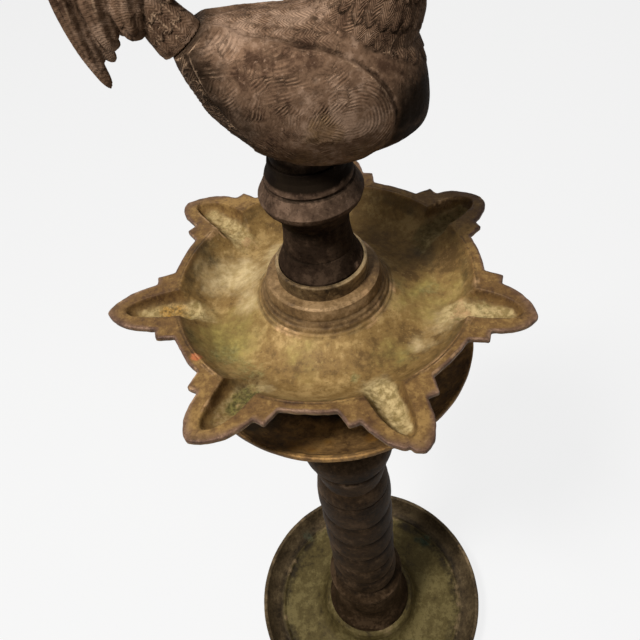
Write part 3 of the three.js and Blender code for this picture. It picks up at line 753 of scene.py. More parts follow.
def blots(x, y, places):
    """Soft round spots: each is a radius and an angle of its middle, a size and a strength."""
    total = np.zeros(x.shape)
    for radius, degrees, size, strength in places:
        a = math.radians(degrees)
        gone = np.hypot(x - radius * math.cos(a), y - radius * math.sin(a))
        total = np.maximum(total, strength * np.exp(-((gone / size) ** 2)))
    return total


def noise_at(points, size, shift=(0, 0, 0)):
    """A smooth noise from -1 to 1 at each point, whose swells are about this size."""
    shift = Vector(shift)
    return np.array([noise.noise(Vector(p) / size + shift) for p in points])


def wobble(points, amount, size, seed):
    """How far each point moves for an uneven surface, in the points' units."""
    return amount * noise_at(points, size, (seed * 13.7, seed * 7.1, seed * 3.3))


# %% Reading and writing a mesh
def neighbours(mesh):
    """The two ends of every edge, as two arrays."""
    ends = np.zeros(len(mesh.edges) * 2, np.int64)
    mesh.edges.foreach_get("vertices", ends)
    return ends[0::2], ends[1::2]


def vertex_arrays(mesh):
    """The places and the normals of a mesh's vertices."""
    places = np.zeros(len(mesh.vertices) * 3, np.float32)
    normals = np.zeros(len(mesh.vertices) * 3, np.float32)
    mesh.vertices.foreach_get("co", places)
    mesh.vertex_normals.foreach_get("vector", normals)
    return places.reshape(-1, 3).astype(float), normals.reshape(-1, 3).astype(float)


def set_places(mesh, places, node):
    """Moves the vertices to places in metres, kept within the CAD node's box."""
    low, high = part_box(node)
    places = np.clip(places, np.array(low), np.array(high))
    mesh.vertices.foreach_set("co", places.astype(np.float32).ravel())
    mesh.update()


def paint(mesh, name, values):
    """Stores one number for each vertex, for a material to read by its name."""
    attribute = mesh.attributes.get(name) or mesh.attributes.new(name, "FLOAT", "POINT")
    attribute.data.foreach_set("value", np.asarray(values, np.float32))


# %% [markdown]
# Where the edges and the hollows are
#
# Real wear finds the edges that stand out, and dirt finds the corners that lie in. Along each
# edge of the mesh the normals tell how sharply the surface bends, and which way. The marks are
# then spread to the next vertices, so that they don't end at one row of faces.
# %% Ridges and hollows
least_bend = 0.08
spread_share = 0.8


def mark_relief(mesh, sharp=0.0022, spread=2):
    """Writes ridge and hollow: how sharply each vertex stands out or lies in, from 0 to 1.
    sharp is the radius in metres at which an edge counts in full. spread is how many times
    the marks grow by one vertex."""
    places, normals = vertex_arrays(mesh)
    first, second = neighbours(mesh)
    step = places[first] - places[second]
    length = np.maximum((step**2).sum(1), 1e-12)
    out = np.zeros(len(places))
    inside = np.zeros(len(places))
    for one, sign in ((first, 1), (second, -1)):
        bend = 2 * sign * (normals[one] * step).sum(1) / length
        np.maximum.at(out, one, bend)
        np.maximum.at(inside, one, -bend)
    for name, values in (("ridge", out), ("hollow", inside)):
        share = np.clip(values * sharp - least_bend, 0, 1)
        for _ in range(spread):
            wide = share.copy()
            np.maximum.at(wide, first, spread_share * share[second])
            np.maximum.at(wide, second, spread_share * share[first])
            share = wide
        paint(mesh, name, share)


# %% [markdown]
# A piece and the sweep
#
# piece makes the mesh, dents it and gives it its CAD body and material slot. swept turns an
# outline into points and faces, as a lathe would: a row round the axis for each of its points.
# %% A piece from points, and the sweep
slow_dents, quick_dents = 12.0, 3.5
fit_margin = 0.6


def piece(name, points, faces, node, body, material, rough=0.12, fits=(), bore=17.0):
    """A smooth piece of the lamp from points in millimetres. It stands for a CAD node. rough
    is how uneven its surface is, except in the bore and at the heights in fits, where other
    pieces touch it."""
    mesh = bpy.data.meshes.new(name)
    mesh.from_pydata([Vector(p) * MM for p in points], [], faces)
    mesh.polygons.foreach_set("use_smooth", [True] * len(mesh.polygons))
    places, normals = vertex_arrays(mesh)
    seed = sum(map(ord, name)) % 17
    lift = wobble(places / MM, rough, slow_dents, seed)
    lift += wobble(places / MM, rough * 0.5, quick_dents, seed)
    lift *= np.clip(np.hypot(places[:, 0], places[:, 1]) / MM - bore, 0, 1)
    for height in fits:
        lift *= np.clip(np.abs(places[:, 2] / MM - height) - fit_margin, 0, 1)
    set_places(mesh, places + normals * (lift * MM)[:, None], node)
    mark_relief(mesh)
    return dress(bpy.data.objects.new(name, mesh), node, body, material)


def dress(made, node, body, material):
    """Gives a finished object its material and its body, and hides the CAD node it stands for."""
    bpy.context.scene.collection.objects.link(made)
    made.data.materials.clear()
    made.data.materials.append(material)
    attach(made, body)
    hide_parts(node)
    print(made.name, len(made.data.vertices), "vertices")
    return made


def swept(outline, around=144, soften=0.6, longest=2.4):
    """The points and faces of an outline swept round the axis."""
    closed = outline.points[0].x > 1e-6
    line = divided(softened(outline.points, soften, closed), longest, closed)
    if not closed:
        line = line[1:-1]
    angles = [2 * math.pi * k / around for k in range(around)]
    points = [(p.x * math.cos(a), p.x * math.sin(a), p.y) for p in line for a in angles]
    faces = []
    rows = len(line)
    for i in range(rows if closed else rows - 1):
        for k in range(around):
            low, high = i * around, (i + 1) % rows * around
            after = (k + 1) % around
            faces.append((low + k, low + after, high + after, high + k))
    if not closed:
        faces.append(tuple(reversed(range(around))))
        faces.append(tuple((rows - 1) * around + k for k in range(around)))
    return points, faces


# %% [markdown]
# The base
#
# A wide dish on a ring foot. Its rim is thin and rubbed, its floor has gone green-brown, its
# wall is browner, and the stem stands on a boss in the middle. Underneath it is hollow, as a
# casting is. Heights and radii are in millimetres from the floor and from the axis.
# %% Base
slip_gap = 0.3
tenon_radius = 11.0
tenon_length = 22.0
bore_spare = 2.0
base_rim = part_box("base_dish")[1].x / MM
rim_height = 39.0
foot_radius = 116.0
foot_width = 9.0
base_wall = 4.0
base_floor = 18.0
base_floor_radius = 108.0
boss_radius = 52.0
hub_radius = 21.0
hub_drop = 24.0
seat_thickness = 5.0


def base_outline():
    """From the hub's lower end round the foot and the rim to the top of the boss."""
    bore = tenon_radius + slip_gap
    foot_inner = foot_radius - foot_width
    under = base_floor - base_wall
    hub_end = base_seat - hub_drop
    under_seat = base_seat - seat_thickness
    return (
        Outline(bore, hub_end)
        .line(hub_radius, hub_end)
        .line(hub_radius + 1, under_seat)
        .line(boss_radius - 7, under_seat)
        .line(boss_radius - 4, under_seat - 3)
        .curve(boss_radius - 1, base_floor - 1, boss_radius + 14, under)
        .line(foot_inner - 8, under)
        .curve(foot_inner, under, foot_inner, 0)
        .line(foot_radius, 0)
        .line(foot_radius, 4)
        .curve(foot_radius - 5, under, foot_radius + 5, base_floor + 2)
        .curve(base_rim - 4, rim_height - 12, base_rim, rim_height - 4)
        .line(base_rim, rim_height - 1)
        .line(base_rim - 1.5, rim_height)
        .line(base_rim - 4, rim_height - 1)
        .curve(base_rim - 9, base_floor + 6, base_floor_radius + 3, base_floor + 1)
        .line(base_floor_radius, base_floor + 2)
        .line(base_floor_radius - 3, base_floor)
        .line(boss_radius + 18, base_floor + 1)
        .curve(boss_radius + 3, base_floor + 3, boss_radius + 1, base_seat - 6)
        .line(boss_radius - 1, base_seat - 2)
        .line(boss_radius - 4, base_seat)
        .line(bore, base_seat)
    )


around_dish = 192
points, faces = swept(base_outline(), around_dish, 0.7, 2.6)
base = piece(
    "base", points, faces, "base_dish", "base", base_finish, 0.2, fits=(base_seat,)
)
x, y, z = vertex_arrays(base.data)[0].T / MM
r = np.hypot(x, y)
salt_places = ((102, 36, 8, 0.9), (96, 41, 5, 0.6), (112, 126, 12, 0.5), (70, 300, 9, 0.5))
paint(base.data, "verdigris", blots(x, y, salt_places) * (z > base_floor))
paint(base.data, "wall", ease(base_floor_radius - 2, base_floor_radius + 5, r))

# %% [markdown]
# The stem
#
# Three hollow castings that screw into each other. Each has a threaded tenon below and a bore
# above. A thread is a helix: going round the tenon, the ridge climbs by one pitch a turn. So
# the tenon needs close rows of points, and each point is moved in by where it is on the helix.
# %% Sizes of the stem
bell_foot = 47.0
bell_waist = 34.0
bead_radius = 33.0
crease_radius = 30.5
neck_radius = 27.4
cup_radius = 37.0
column_radius = 20.0
ringed_radius = 26.0
tray_seat_radius = 29.0
pillar_radius = 15.0
spindle_radius = 9.0
groove_depth = 1.2
core_hole = 7.0
stem_wall = 6.5
thread_pitch = 3.0
thread_depth = 0.9
spindle_thread = 12.0
around_stem = 144
tenon_row, spindle_row = 0.4, 0.35  # rows this close show the thread


# %% Threads, tenons and bores
def threaded(points, foot, head, radius):
    """Cuts a thread into a rod or tenon of a given radius, between two heights."""
    cut = []
    for x, y, z in points:
        out = math.hypot(x, y)
        if abs(out - radius) < 0.2 and foot < z < head:
            turn = math.atan2(y, x) / (2 * math.pi)
            share = abs((z / thread_pitch - turn) % 1 * 2 - 1)
            fade = min(1, (z - foot) / 2, (head - z) / 2)
            out_new = out - thread_depth * fade * min(1, 1.6 * share)
            x, y = x * out_new / out, y * out_new / out
        cut.append((x, y, z))
    return cut


def section_start(seat):
    """The lower end of a stem section: its tenon, up to the seat, with close rows for a thread."""
    start = Outline(core_hole, seat - tenon_length)
    start.line(tenon_radius - 1, seat - tenon_length).line(tenon_radius, seat - tenon_length + 1)
    rows = round(tenon_length / tenon_row)
    for k in range(1, rows):
        start.line(tenon_radius, seat - tenon_length + 1 + (tenon_length - 1) * k / rows)
    return start.line(tenon_radius, seat)


def core_hollow(outline, seat, core, core_top):
    """The hollow that the core left in a section, from its upper end down to the seat."""
    outline.line(core_hole, core_top)
    outline.line(core - 7, core_top).line(core, core_top - 10).line(core, seat + stem_wall + 10)
    outline.line(core - 7, seat + stem_wall).line(core_hole, seat + stem_wall)


def section_end(outline, top, seat):
    """The bore in a section's upper end, with the hollow of the core below it."""
    bore = tenon_radius + slip_gap
    ledge = top - tenon_length - bore_spare
    outline.line(bore, top).line(bore, ledge).line(core_hole, ledge)
    core_hollow(outline, seat, crease_radius - stem_wall, ledge - stem_wall)


def stem_piece(name, outline, node, body, seat):
    """A stem section: its outline swept round, with the thread cut on its tenon."""
    points, faces = swept(outline, around_stem, 0.7, 2.0)
    points = threaded(points, seat - tenon_length + 1.5, seat - 2, tenon_radius)
    fits = (seat, top_of(node))
    piece(name, points, faces, node, body, stem_finish, 0.16, fits)


# %% [markdown]
# The lowest section
#
# It flares into a bell foot where it stands on the base's boss. Above a sharp band it swells
# twice. Heights are shares of the section's length, so that it follows the CAD's seats.
# %% Bell
seat, top = base_seat, middle_seat
length = top - seat
lower = section_start(seat)
lower.line(bell_foot - 1.5, seat).line(bell_foot, seat + 2).line(bell_foot - 1.5, seat + 7)
lower.curve(bell_waist + 2, seat + 18, bell_waist, seat + 0.46 * length)
lower.line(bell_waist + 6, seat + 0.52 * length).line(bell_waist + 6, seat + 0.55 * length)
lower.line(crease_radius + 1, seat + 0.6 * length)
lower.swell(bead_radius + 1, crease_radius + 0.5, seat + 0.8 * length)
lower.swell(bead_radius, crease_radius, top)
section_end(lower, top, seat)
stem_piece("stem_bell", lower, "stem_lower", "lower_stem", seat)

# %% [markdown]
# The middle section
#
# Four beads lie on each other like cushions. Above the last one a groove was cut with the
# point of a tool, and the section draws in to the neck that the top section stands on.
# %% Beads
seat, top = middle_seat, upper_seat
length = top - seat
middle = section_start(seat).line(crease_radius, seat)
for share in (0.2, 0.42, 0.64):
    middle.swell(bead_radius, crease_radius, seat + share * length)
middle.swell(bead_radius, bead_radius - 1.5, seat + 0.87 * length)
groove_at = seat + 0.89 * length
middle.line(bead_radius - 1.7, groove_at - 1.2)
middle.line(bead_radius - 1.7 - groove_depth, groove_at)
middle.line(bead_radius - 1.7, groove_at + 1.2)
middle.curve(bead_radius - 2.5, seat + 0.95 * length, neck_radius, top)
section_end(middle, top, seat)
stem_piece("stem_beads", middle, "stem_middle", "middle_stem", seat)

# %% [markdown]
# The top section
#
# A cup, a column with one swelling, and a shoulder that carries the drip tray. From the
# shoulder a pillar goes on up through the tray to the pan, with a bore for the spindle.
# %% Cup and pillar
seat, shoulder, top = upper_seat, tray_seat, pan_seat
length = shoulder - seat
upper = section_start(seat).line(neck_radius, seat)
upper.line(bead_radius - 1.5, seat + 0.14 * length).line(bead_radius - 1.5, seat + 0.17 * length)
upper.line(crease_radius - 0.5, seat + 0.2 * length)
upper.curve(cup_radius + 1, seat + 0.24 * length, cup_radius, seat + 0.36 * length)
upper.curve(cup_radius - 2, seat + 0.44 * length, column_radius + 4, seat + 0.47 * length)
upper.line(column_radius, seat + 0.5 * length).line(column_radius, seat + 0.57 * length)
upper.swell(ringed_radius, column_radius, seat + 0.66 * length)
upper.curve(column_radius - 3, seat + 0.82 * length, tray_seat_radius - 4, shoulder - 9)
upper.line(tray_seat_radius, shoulder - 7).line(tray_seat_radius, shoulder)
upper.line(pillar_radius, shoulder).line(pillar_radius, top)
upper.line(spindle_radius + slip_gap, top).line(spindle_radius + slip_gap, spindle_foot)
upper.line(core_hole, spindle_foot)
core_hollow(upper, seat, neck_radius - stem_wall, seat + 0.4 * length)
stem_piece("stem_cup", upper, "stem_upper", "upper_stem", seat)

# %% [markdown]
# The spindle
#
# A plain rod in the pillar. The post screws onto its top, so the top has a thread as well.
# %% Spindle
thread_start = spindle_top - spindle_thread - 4
rod = Outline(0, spindle_foot).line(spindle_radius, spindle_foot)
rod.line(spindle_radius, thread_start)
rows = round((spindle_thread + 2) / spindle_row)
for k in range(1, rows + 1):
    rod.line(spindle_radius, thread_start + (spindle_thread + 2) * k / rows)
rod.line(spindle_radius - 2, spindle_top).line(0, spindle_top)
points, faces = swept(rod, 96, 0.3, 3.0)
points = threaded(points, thread_start + 1, spindle_top - 2, spindle_radius)
piece("spindle_rod", points, faces, "spindle", "upper_stem", screw_finish, 0.0)

# %% [markdown]
# The drip tray
#
# A shallow saucer whose hub slips over the pillar. It catches what drips from the spouts, so
# it has rusty spots below them. Where the pan's shadow falls, and over the floor near the hub, a
# painted shade makes it nearly black.
# %% Drip tray
tray_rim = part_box("drip_tray")[1].x / MM
tray_rim_height = 22.0
tray_floor_height = 5.0
tray_wall = 3.0
tray_hub = 23.0
tray_hub_height = 9.0


def tray_outline():
    """From the hub's underside round the rim to the hub's top."""
    bore = pillar_radius + slip_gap
    rim = tray_seat + tray_rim_height
    floor_at = tray_seat + tray_floor_height
    return (
        Outline(bore, tray_seat)
        .line(tray_hub + 6, tray_seat)
        .line(tray_hub + 9, floor_at - tray_wall)
        .line(tray_rim - 28, floor_at - tray_wall + 1)
        .curve(tray_rim - 6, floor_at + 1, tray_rim, rim - 3.5)
        .line(tray_rim, rim - 0.5)
        .line(tray_rim - 1, rim)
        .line(tray_rim - 3, rim - 1)
        .curve(tray_rim - 11, floor_at + 4, tray_rim - 28, floor_at + 1)
        .line(tray_hub + 5, floor_at)
        .line(tray_hub, floor_at + 1.5)
        .line(tray_hub - 1.5, tray_seat + tray_hub_height)
        .line(bore, tray_seat + tray_hub_height)
    )


points, faces = swept(tray_outline(), around_dish, 0.6, 2.0)
tray = piece(
    "tray", points, faces, "drip_tray", "tray", tray_finish, 0.2, fits=(tray_seat,)
)
drip_places = (
    (80, 246, 8, 0.8),
    (72, 260, 5, 0.9),
    (74, 281, 5, 1.0),
    (80, 252, 6, 0.8),
    (60, 20, 7, 0.7),
    (66, 130, 6, 0.8),
)
# Painted shade: the pan's shadow in the tray, and the floor near the hub, are painted nearly
# black.
painted_shadow_places = ((72, 214, 19, 1.5), (70, 180, 28, 1.1), (76, 293, 13, 1.1), (80, 325, 20, 0.3))
x, y, z = vertex_arrays(tray.data)[0].T / MM
inside_tray = z > tray_seat + tray_floor_height - 1
painted_shadow = np.maximum(blots(x, y, painted_shadow_places), 1 - ease(50, 64, np.hypot(x, y)))
paint(tray.data, "rust", blots(x, y, drip_places) * inside_tray)
paint(tray.data, "soot_and_shade", painted_shadow * inside_tray)

# %% [markdown]
# The seating ring and the post
#
# The post turns in the ring: the ring's lip is closed over the post's foot. The lip is thin and
# bright. The post is a flared column under a sharp collar, with a bead and a neck above. The
# collar is the one place on it that is browner. The rest is dark, and a painted shade makes
# its neck under the bird and its right-hand side, turned from the main lamp, nearly black.
# %% Sizes of ring and post
ring_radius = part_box("seat_ring")[1].x / MM
ring_height = 10.0
ring_lip = 1.4
ring_lip_radius = 24.3
post_foot = 24.9
post_foot_thickness = 4.2
post_waist = 18.3
collar_radius = 27.6
collar_height = 54.5
post_bead = 23.0
post_neck = 19.6
post_bore_length = 28.0
socket_depth = 26.0
around_ring = 160


# %% Ring and post
def ring_outline():
    """A square ring, with a recess under its lip for the post's foot."""
    recess = post_foot + slip_gap
    bore = spindle_radius + slip_gap
    top = ring_seat + ring_height
    return (
        Outline(bore, ring_seat)
        .line(ring_radius, ring_seat)
        .line(ring_radius, top - 0.8)
        .line(ring_radius - 0.6, top)
        .line(ring_lip_radius, top)
        .line(ring_lip_radius, top - ring_lip)
        .line(recess, top - ring_lip)
        .line(recess, post_seat)
        .line(bore, post_seat)
    )


def post_outline():
    """From the bore for the spindle round the foot, up the column, to the tang's socket."""
    z, top = post_seat, post_top
    ring_top = ring_seat + ring_height
    return (
        Outline(0, z + post_bore_length)
        .line(spindle_radius + slip_gap, z + post_bore_length)
        .line(spindle_radius + slip_gap, z)
        .line(post_foot, z)
        .line(post_foot, z + post_foot_thickness)
        .line(ring_lip_radius - slip_gap, z + post_foot_thickness)
        .line(ring_lip_radius - slip_gap, ring_top + 1)
        .curve(post_waist + 2.3, z + 14.5, post_waist + 1.6, z + 17.6)
        .line(post_waist + 1.2, z + 18.2)
        .line(post_waist + 1.3, z + 18.8)
        .line(post_waist, z + 29)
        .line(post_waist, z + 38)
        .curve(post_waist + 2, z + 43, collar_radius - 1.2, z + collar_height - 3.5)
        .line(collar_radius, z + collar_height + 0.4)
        .line(collar_radius - 1.4, z + collar_height + 3)
        .line(post_bead + 0.6, z + collar_height + 8)
        .line(post_bead - 0.6, z + collar_height + 9)
        .line(post_bead, z + collar_height + 10.4)
        .line(post_bead - 0.8, z + collar_height + 12.9)
        .line(post_neck + 0.8, z + collar_height + 16.5)
        .line(post_neck, top)
        .line(spindle_radius + slip_gap, top)
        .line(spindle_radius + slip_gap, top - socket_depth)
        .line(0, top - socket_depth)
    )


points, faces = swept(ring_outline(), around_ring, 0.3, 1.5)
piece(
    "ring", points, faces, "seat_ring", "ring", ring_finish, 0.08, (ring_seat,), 25.6
)
points, faces = swept(post_outline(), around_ring, 0.6, 1.5)
post = piece(
    "post", points, faces, "finial_post", "finial", post_finish, bore=12.0,
    fits=(post_top,),
)
x, y, z = vertex_arrays(post.data)[0].T
rise = z / MM - post_seat - collar_height
# Painted shade: the right-hand side turned from the main lamp is darkened, and the neck under the
# bird is painted nearly black.
painted_shade_side = 0.3 * ease(0.2, 0.9, np.cos(np.arctan2(y, x) + 0.35))
paint(post.data, "collar", 0.85 * ease(-4, -1, rise) * (1 - ease(11.5, 13.5, rise)))
paint(post.data, "soot_and_shade", np.clip(1.2 * ease(12, 14.5, rise) + painted_shade_side, 0, 1.2))

# %% [markdown]
# The oil pan
#
# The pan is a bowl with a flange, and the flange runs out into seven leaf-shaped spouts, each
# between two square teeth. Seen from above, every line from the centre crosses its edge once.
# So the pan can be a grid: columns that run out to points along the edge, and rows between.
# Two functions give the height of the upper and of the lower face at any place.
# %% Oil pan sizes
flange_top = ring_seat - 8.0
boss_top = 8.0  # heights are from the flange's upper face
boss_top_radius = 33.0
boss_foot_radius = 36.5
boss_foot_depth = 5.0
well_radius = 87.0
well_depth = 17.0
well_floor_radius = 67.0
flange_radius = 93.5
flange_thickness = 3.5
pan_wall = 3.6
pan_hub_radius = 20.0
pan_hub_drop = 22.0
spout_count = 7
first_spout = 26.2
neck_reach = 100.5
neck_half = 18.2
spout_length = 24.5
spout_lengths = (19.0, 24.5, 23.5, 29.0, 25.5, 27.0, 22.0)
spout_leans = (-3.0, 0.0, 6.0, -1.0, -4.0, 4.0, -3.0)
tooth_half = 24.9
tooth_root_half = 26.5
trough_half = 10.6
trough_end = 115.5
trough_middle = 80.0
trough_depth = 13.0
trough_wall = 2.8
bore_radius = spindle_radius + slip_gap


# %% [markdown]
# The edge of the pan
#
# Half a spout is drawn once, from midway between two spouts to the tip. Mirrored and turned
# seven times it makes the whole edge, and each spout is then stretched and leaned a little,
# because they were filed by hand and no two are the same.
# %% Edge of the pan
def half_spout():
    """From midway between two spouts to a spout's tip; the spout lies along the first axis."""
    between = math.pi / spout_count
    root = math.asin(tooth_root_half / flange_radius)
    steps = 10
    line = []
    for k in range(steps):
        a = -between + (between - root) * k / steps
        line.append(Vector((flange_radius * math.cos(a), flange_radius * math.sin(a))))
    line.append(Vector((flange_radius * math.cos(root), -tooth_root_half)))
    line.append(Vector((neck_reach, -tooth_half)))
    start = Vector((neck_reach, -neck_half))
    line.append(start)
    tip = neck_reach + spout_length
    shoulder_pull = Vector((neck_reach + 12, 2 - neck_half))
    tip_pull = Vector((tip - 2, -9))
    line.extend(cubic(start, shoulder_pull, tip_pull, Vector((tip, 0)), 16))
    return line


def bent(point, length, lean):
    """Moves what lies past a spout's neck, so that its tip comes to its own place."""
    past = max(0.0, point.x - neck_reach) / spout_length
    return Vector((point.x + past * (length - spout_length), point.y + past**1.5 * lean))


def turned_by(point, angle):
    """A point turned round the axis."""
    c, s = math.cos(angle), math.sin(angle)
    return Vector((point.x * c - point.y * s, point.x * s + point.y * c))


def pan_edge(step):
    """The pan's edge as evenly spaced points, and the way inward at each of them."""
    half = half_spout()
    whole = half + [Vector((p.x, -p.y)) for p in reversed(half[1:-1])]
    edge = []
    for i in range(spout_count):
        angle = math.radians(first_spout + 360 * i / spout_count)
        edge.extend(turned_by(bent(p, spout_lengths[i], spout_leans[i]), angle) for p in whole)
    edge = softened(edge, 1.6)
    loop = np.array([tuple(p) for p in edge + edge[:1]])
    gone = np.concatenate([[0], np.cumsum(np.linalg.norm(np.diff(loop, axis=0), axis=1))])
    count = 4 * round(gone[-1] / step / 4)
    at = np.linspace(0, gone[-1], count, endpoint=False)
    even = np.stack([np.interp(at, gone, loop[:, 0]), np.interp(at, gone, loop[:, 1])], 1)
    along = np.roll(even, -1, 0) - np.roll(even, 1, 0)
    along /= np.linalg.norm(along, axis=1)[:, None]
    return even, np.stack([-along[:, 1], along[:, 0]], 1)


# %% [markdown]
# The two faces of the pan
#
# The bowl's height follows a profile. A trough is an egg-shaped hollow cut into it, and the
# lower of the two wins, with a round at the edge between them as wear and filing leave.


# %% Profiles of the pan
def profile_height(outline):
    """A function that gives the height of an outline at a radius."""
    line = divided(softened(outline.points, 0.8, False), 0.5, False)
    radii = np.array([p.x for p in line])
    heights = np.array([p.y for p in line])
    return lambda r: np.interp(r, radii, heights)


face_profile = (
    Outline(bore_radius, boss_top)
    .line(boss_top_radius - 1.5, boss_top)
    .line(boss_top_radius, boss_top - 1)
    .curve(boss_top_radius + 1, boss_top - 4, boss_top_radius + 1.5, 0)
    .line(boss_foot_radius, 2 - boss_foot_depth)
    .line(boss_foot_radius + 2, -1 - boss_foot_depth)
    .curve(boss_foot_radius + 16, 0.5 - well_depth, well_floor_radius - 2, -well_depth, 24)
    .curve(well_floor_radius + 7, -well_depth, well_radius - 1, -1.5)
    .line(well_radius, 0)
    .line(well_radius + 60, 0)
)
under_well = well_depth + pan_wall
lower_profile = (
    Outline(bore_radius, -pan_hub_drop)
    .line(pan_hub_radius, -pan_hub_drop)
    .line(pan_hub_radius + 1, -14)
    .curve(pan_hub_radius + 3, -9, boss_foot_radius, -boss_foot_depth - 6)
    .curve(boss_foot_radius + 12, 2 - under_well, well_floor_radius - 2, -under_well)
    .curve(well_floor_radius + 10, -under_well, well_radius + 1, -flange_thickness - 1)
    .line(flange_radius - 1, -flange_thickness)
    .line(flange_radius + 60, -flange_thickness)
)
wall_height = profile_height(face_profile)
lower_height = profile_height(lower_profile)
lip_line = well_radius + 1.1
lip_line_cut = 0.2
lip_line_half = 0.6


# %% Troughs
no_hollow = 8.0  # a height that no hollow of the pan reaches


def lower_of(a, b, blend):
    """The smaller of two heights, rounded where they cross."""
    share = np.clip(0.5 + 0.5 * (b - a) / blend, 0, 1)
    return b * (1 - share) + a * share - blend * share * (1 - share)


def along_spout(x, y, i):
    """How far a place lies along a spout and to its side, with the spout's own bend undone."""
    angle = math.radians(first_spout + 360 * i / spout_count)
    u = x * math.cos(angle) + y * math.sin(angle)
    v = -x * math.sin(angle) + y * math.cos(angle)
    past = np.maximum(0, u - neck_reach) / spout_lengths[i]
    return u - past * (spout_lengths[i] - spout_length), v - past**1.5 * spout_leans[i]


def eggs(x, y, wall=0.0):
    """The height of the egg-shaped hollows in the spouts, or with a wall, of their undersides."""
    half_length = trough_end - trough_middle + wall
    half_width = trough_half + wall
    depth = trough_depth + wall
    height = np.full(x.shape, no_hollow)
    for i in range(spout_count):
        u, v = along_spout(x, y, i)
        left = 1 - ((u - trough_middle) / half_length) ** 2 - (v / half_width) ** 2
        left = np.where(u > 0, left, -1)
        hollow = -depth * np.sqrt(np.maximum(left, 0))
        height = np.minimum(height, np.where(left > 0, hollow, np.minimum(-left * 30, no_hollow)))
    return height


def upper_face(x, y):
    """The pan's upper face, with a fine line turned along the bowl's lip."""
    r = np.hypot(x, y)
    bowl = wall_height(r) - lip_line_cut * np.exp(-(((r - lip_line) / lip_line_half) ** 2))
    return lower_of(bowl, eggs(x, y), 2.4)


def lower_face(x, y):
    """The pan's lower face, with a keel under each spout."""
    return lower_of(lower_height(np.hypot(x, y)), eggs(x, y, trough_wall), 2.0)


# %% [markdown]
# The pan's grid
#
# Rows near the centre need only every fourth column, or the faces there would be slivers. One
# row of many-sided faces joins the coarse part to the fine one. At the edge a few rows go
# round the flange's rim, and the same columns come back along the lower face. The edge is
# dented a little all along, and one nick was knocked into it.
# %% Columns of the pan
edge, inward = pan_edge(0.8)
columns = len(edge)
angles = np.arctan2(edge[:, 1], edge[:, 0])
directions = np.stack([np.cos(angles), np.sin(angles)], 1)
fine_from = 60.0
coarse = 4  # near the centre, one column in four is used
nick_at, nick_size, nick_depth = (25.7, -120.8), 1.5, 1.6


def dent(place):
    """How far one point of the edge is dented: a slow noise and a quicker one."""
    return noise.noise(Vector((*place, 3.0)) / 9) + 0.5 * noise.noise(Vector((*place, 8.0)) / 3)


dents = np.array([dent(place) for place in edge])
from_nick = np.hypot(edge[:, 0] - nick_at[0], edge[:, 1] - nick_at[1])
nick = nick_depth * np.exp(-((from_nick / nick_size) ** 2))
edge = edge + inward * (0.35 + 0.45 * dents + nick)[:, None]
print("columns of the pan:", columns)


# %% Rows of the pan
edge_round = 1.1
well_rows, flange_rows, rim_rows = 40, 41, 4
turned_grooves = (36.4, 38.2, 40.4)
groove_reach = 0.4
groove_cut = 0.28


def circle(radius, every=1):
    """Points on a circle, one for each column or for every fourth."""
    return directions[::every] * radius


def rim_row(inset, height):
    """A row along the edge, a little way in from it, at one height."""
    return np.column_stack([edge + inward * inset, np.full(columns, height)])


def face_row(flat, face):
    """A row that lies on one of the pan's faces."""
    return np.column_stack([flat, face(flat[:, 0], flat[:, 1])])


def boss_rows():
    """Rows down the boss and over the floor, with the turned grooves at the boss's foot."""
    line = divided(softened(face_profile.points, 0.8, False), 0.5, False)
    for p in line:
        if p.x >= fine_from - 0.5:
            continue
        gone = [(p.x - at) / groove_reach for at in turned_grooves]
        cut = sum(groove_cut * math.exp(-(share**2)) for share in gone)
        flat = circle(p.x - 0.5 * cut, coarse)
        yield np.column_stack([flat, np.full(len(flat), p.y - cut)])


rows = list(boss_rows())
print("rows on the boss:", len(rows))
rows.append(face_row(circle(fine_from, coarse), upper_face))
for radius in np.linspace(fine_from + 0.5, well_radius, well_rows):
    rows.append(face_row(circle(radius), upper_face))
for share in np.linspace(0, 1, flange_rows + 1)[1:]:
    flat = circle(well_radius) * (1 - share) + (edge + inward * edge_round) * share
    rows.append(face_row(flat, upper_face))
for step in range(1, rim_rows + 1):
    turn = step / rim_rows * math.pi / 2
    fall = 0.8 * edge_round * (1 - math.cos(turn))
    rows.append(rim_row(edge_round * (1 - math.sin(turn)), -fall))
upper_rows = len(rows)
rows.append(rim_row(0.0, -flange_thickness + 0.8))
rows.append(rim_row(0.3, -flange_thickness + 0.2))
for share in np.linspace(1, 0, 16)[:-1]:
    flat = circle(well_radius) * (1 - share) + (edge + inward * 0.9) * share
    rows.append(face_row(flat, lower_face))
for radius in np.linspace(well_radius, fine_from, 18):
    rows.append(face_row(circle(radius), lower_face))
for radius in np.arange(fine_from - 1, bore_radius, -1.2):
    rows.append(face_row(circle(radius, coarse), lower_face))
rows.append(face_row(circle(bore_radius, coarse), lower_face))


# %% Faces of the pan
def woven(rows, starts):
    """Faces between each row and the next, and from the last row back to the first. Where a
    coarse row meets a fine one, a face takes in one step of the first and four of the other."""
    faces = []
    for i, row in enumerate(rows):
        j = (i + 1) % len(rows)
        here, there = starts[i], starts[j]
        a, b = len(row), len(rows[j])
        for k in range(min(a, b)):
            after = (k + 1) % min(a, b)
            if a == b:
                faces.append((here + k, there + k, there + after, here + after))
            elif a < b:
                fan = [there + (coarse * k + n) % b for n in range(coarse + 1)]
                faces.append((here + k, *fan, here + after))
            else:
                fan = [here + (coarse * k + n) % a for n in range(coarse, -1, -1)]
                faces.append((there + k, there + after, *fan))
    return faces


starts = np.concatenate([[0], np.cumsum([len(row) for row in rows])])
faces = woven(rows, starts)
points = np.concatenate(rows)
top_side = np.arange(len(points)) < starts[upper_rows]
print("faces of the pan:", len(faces))

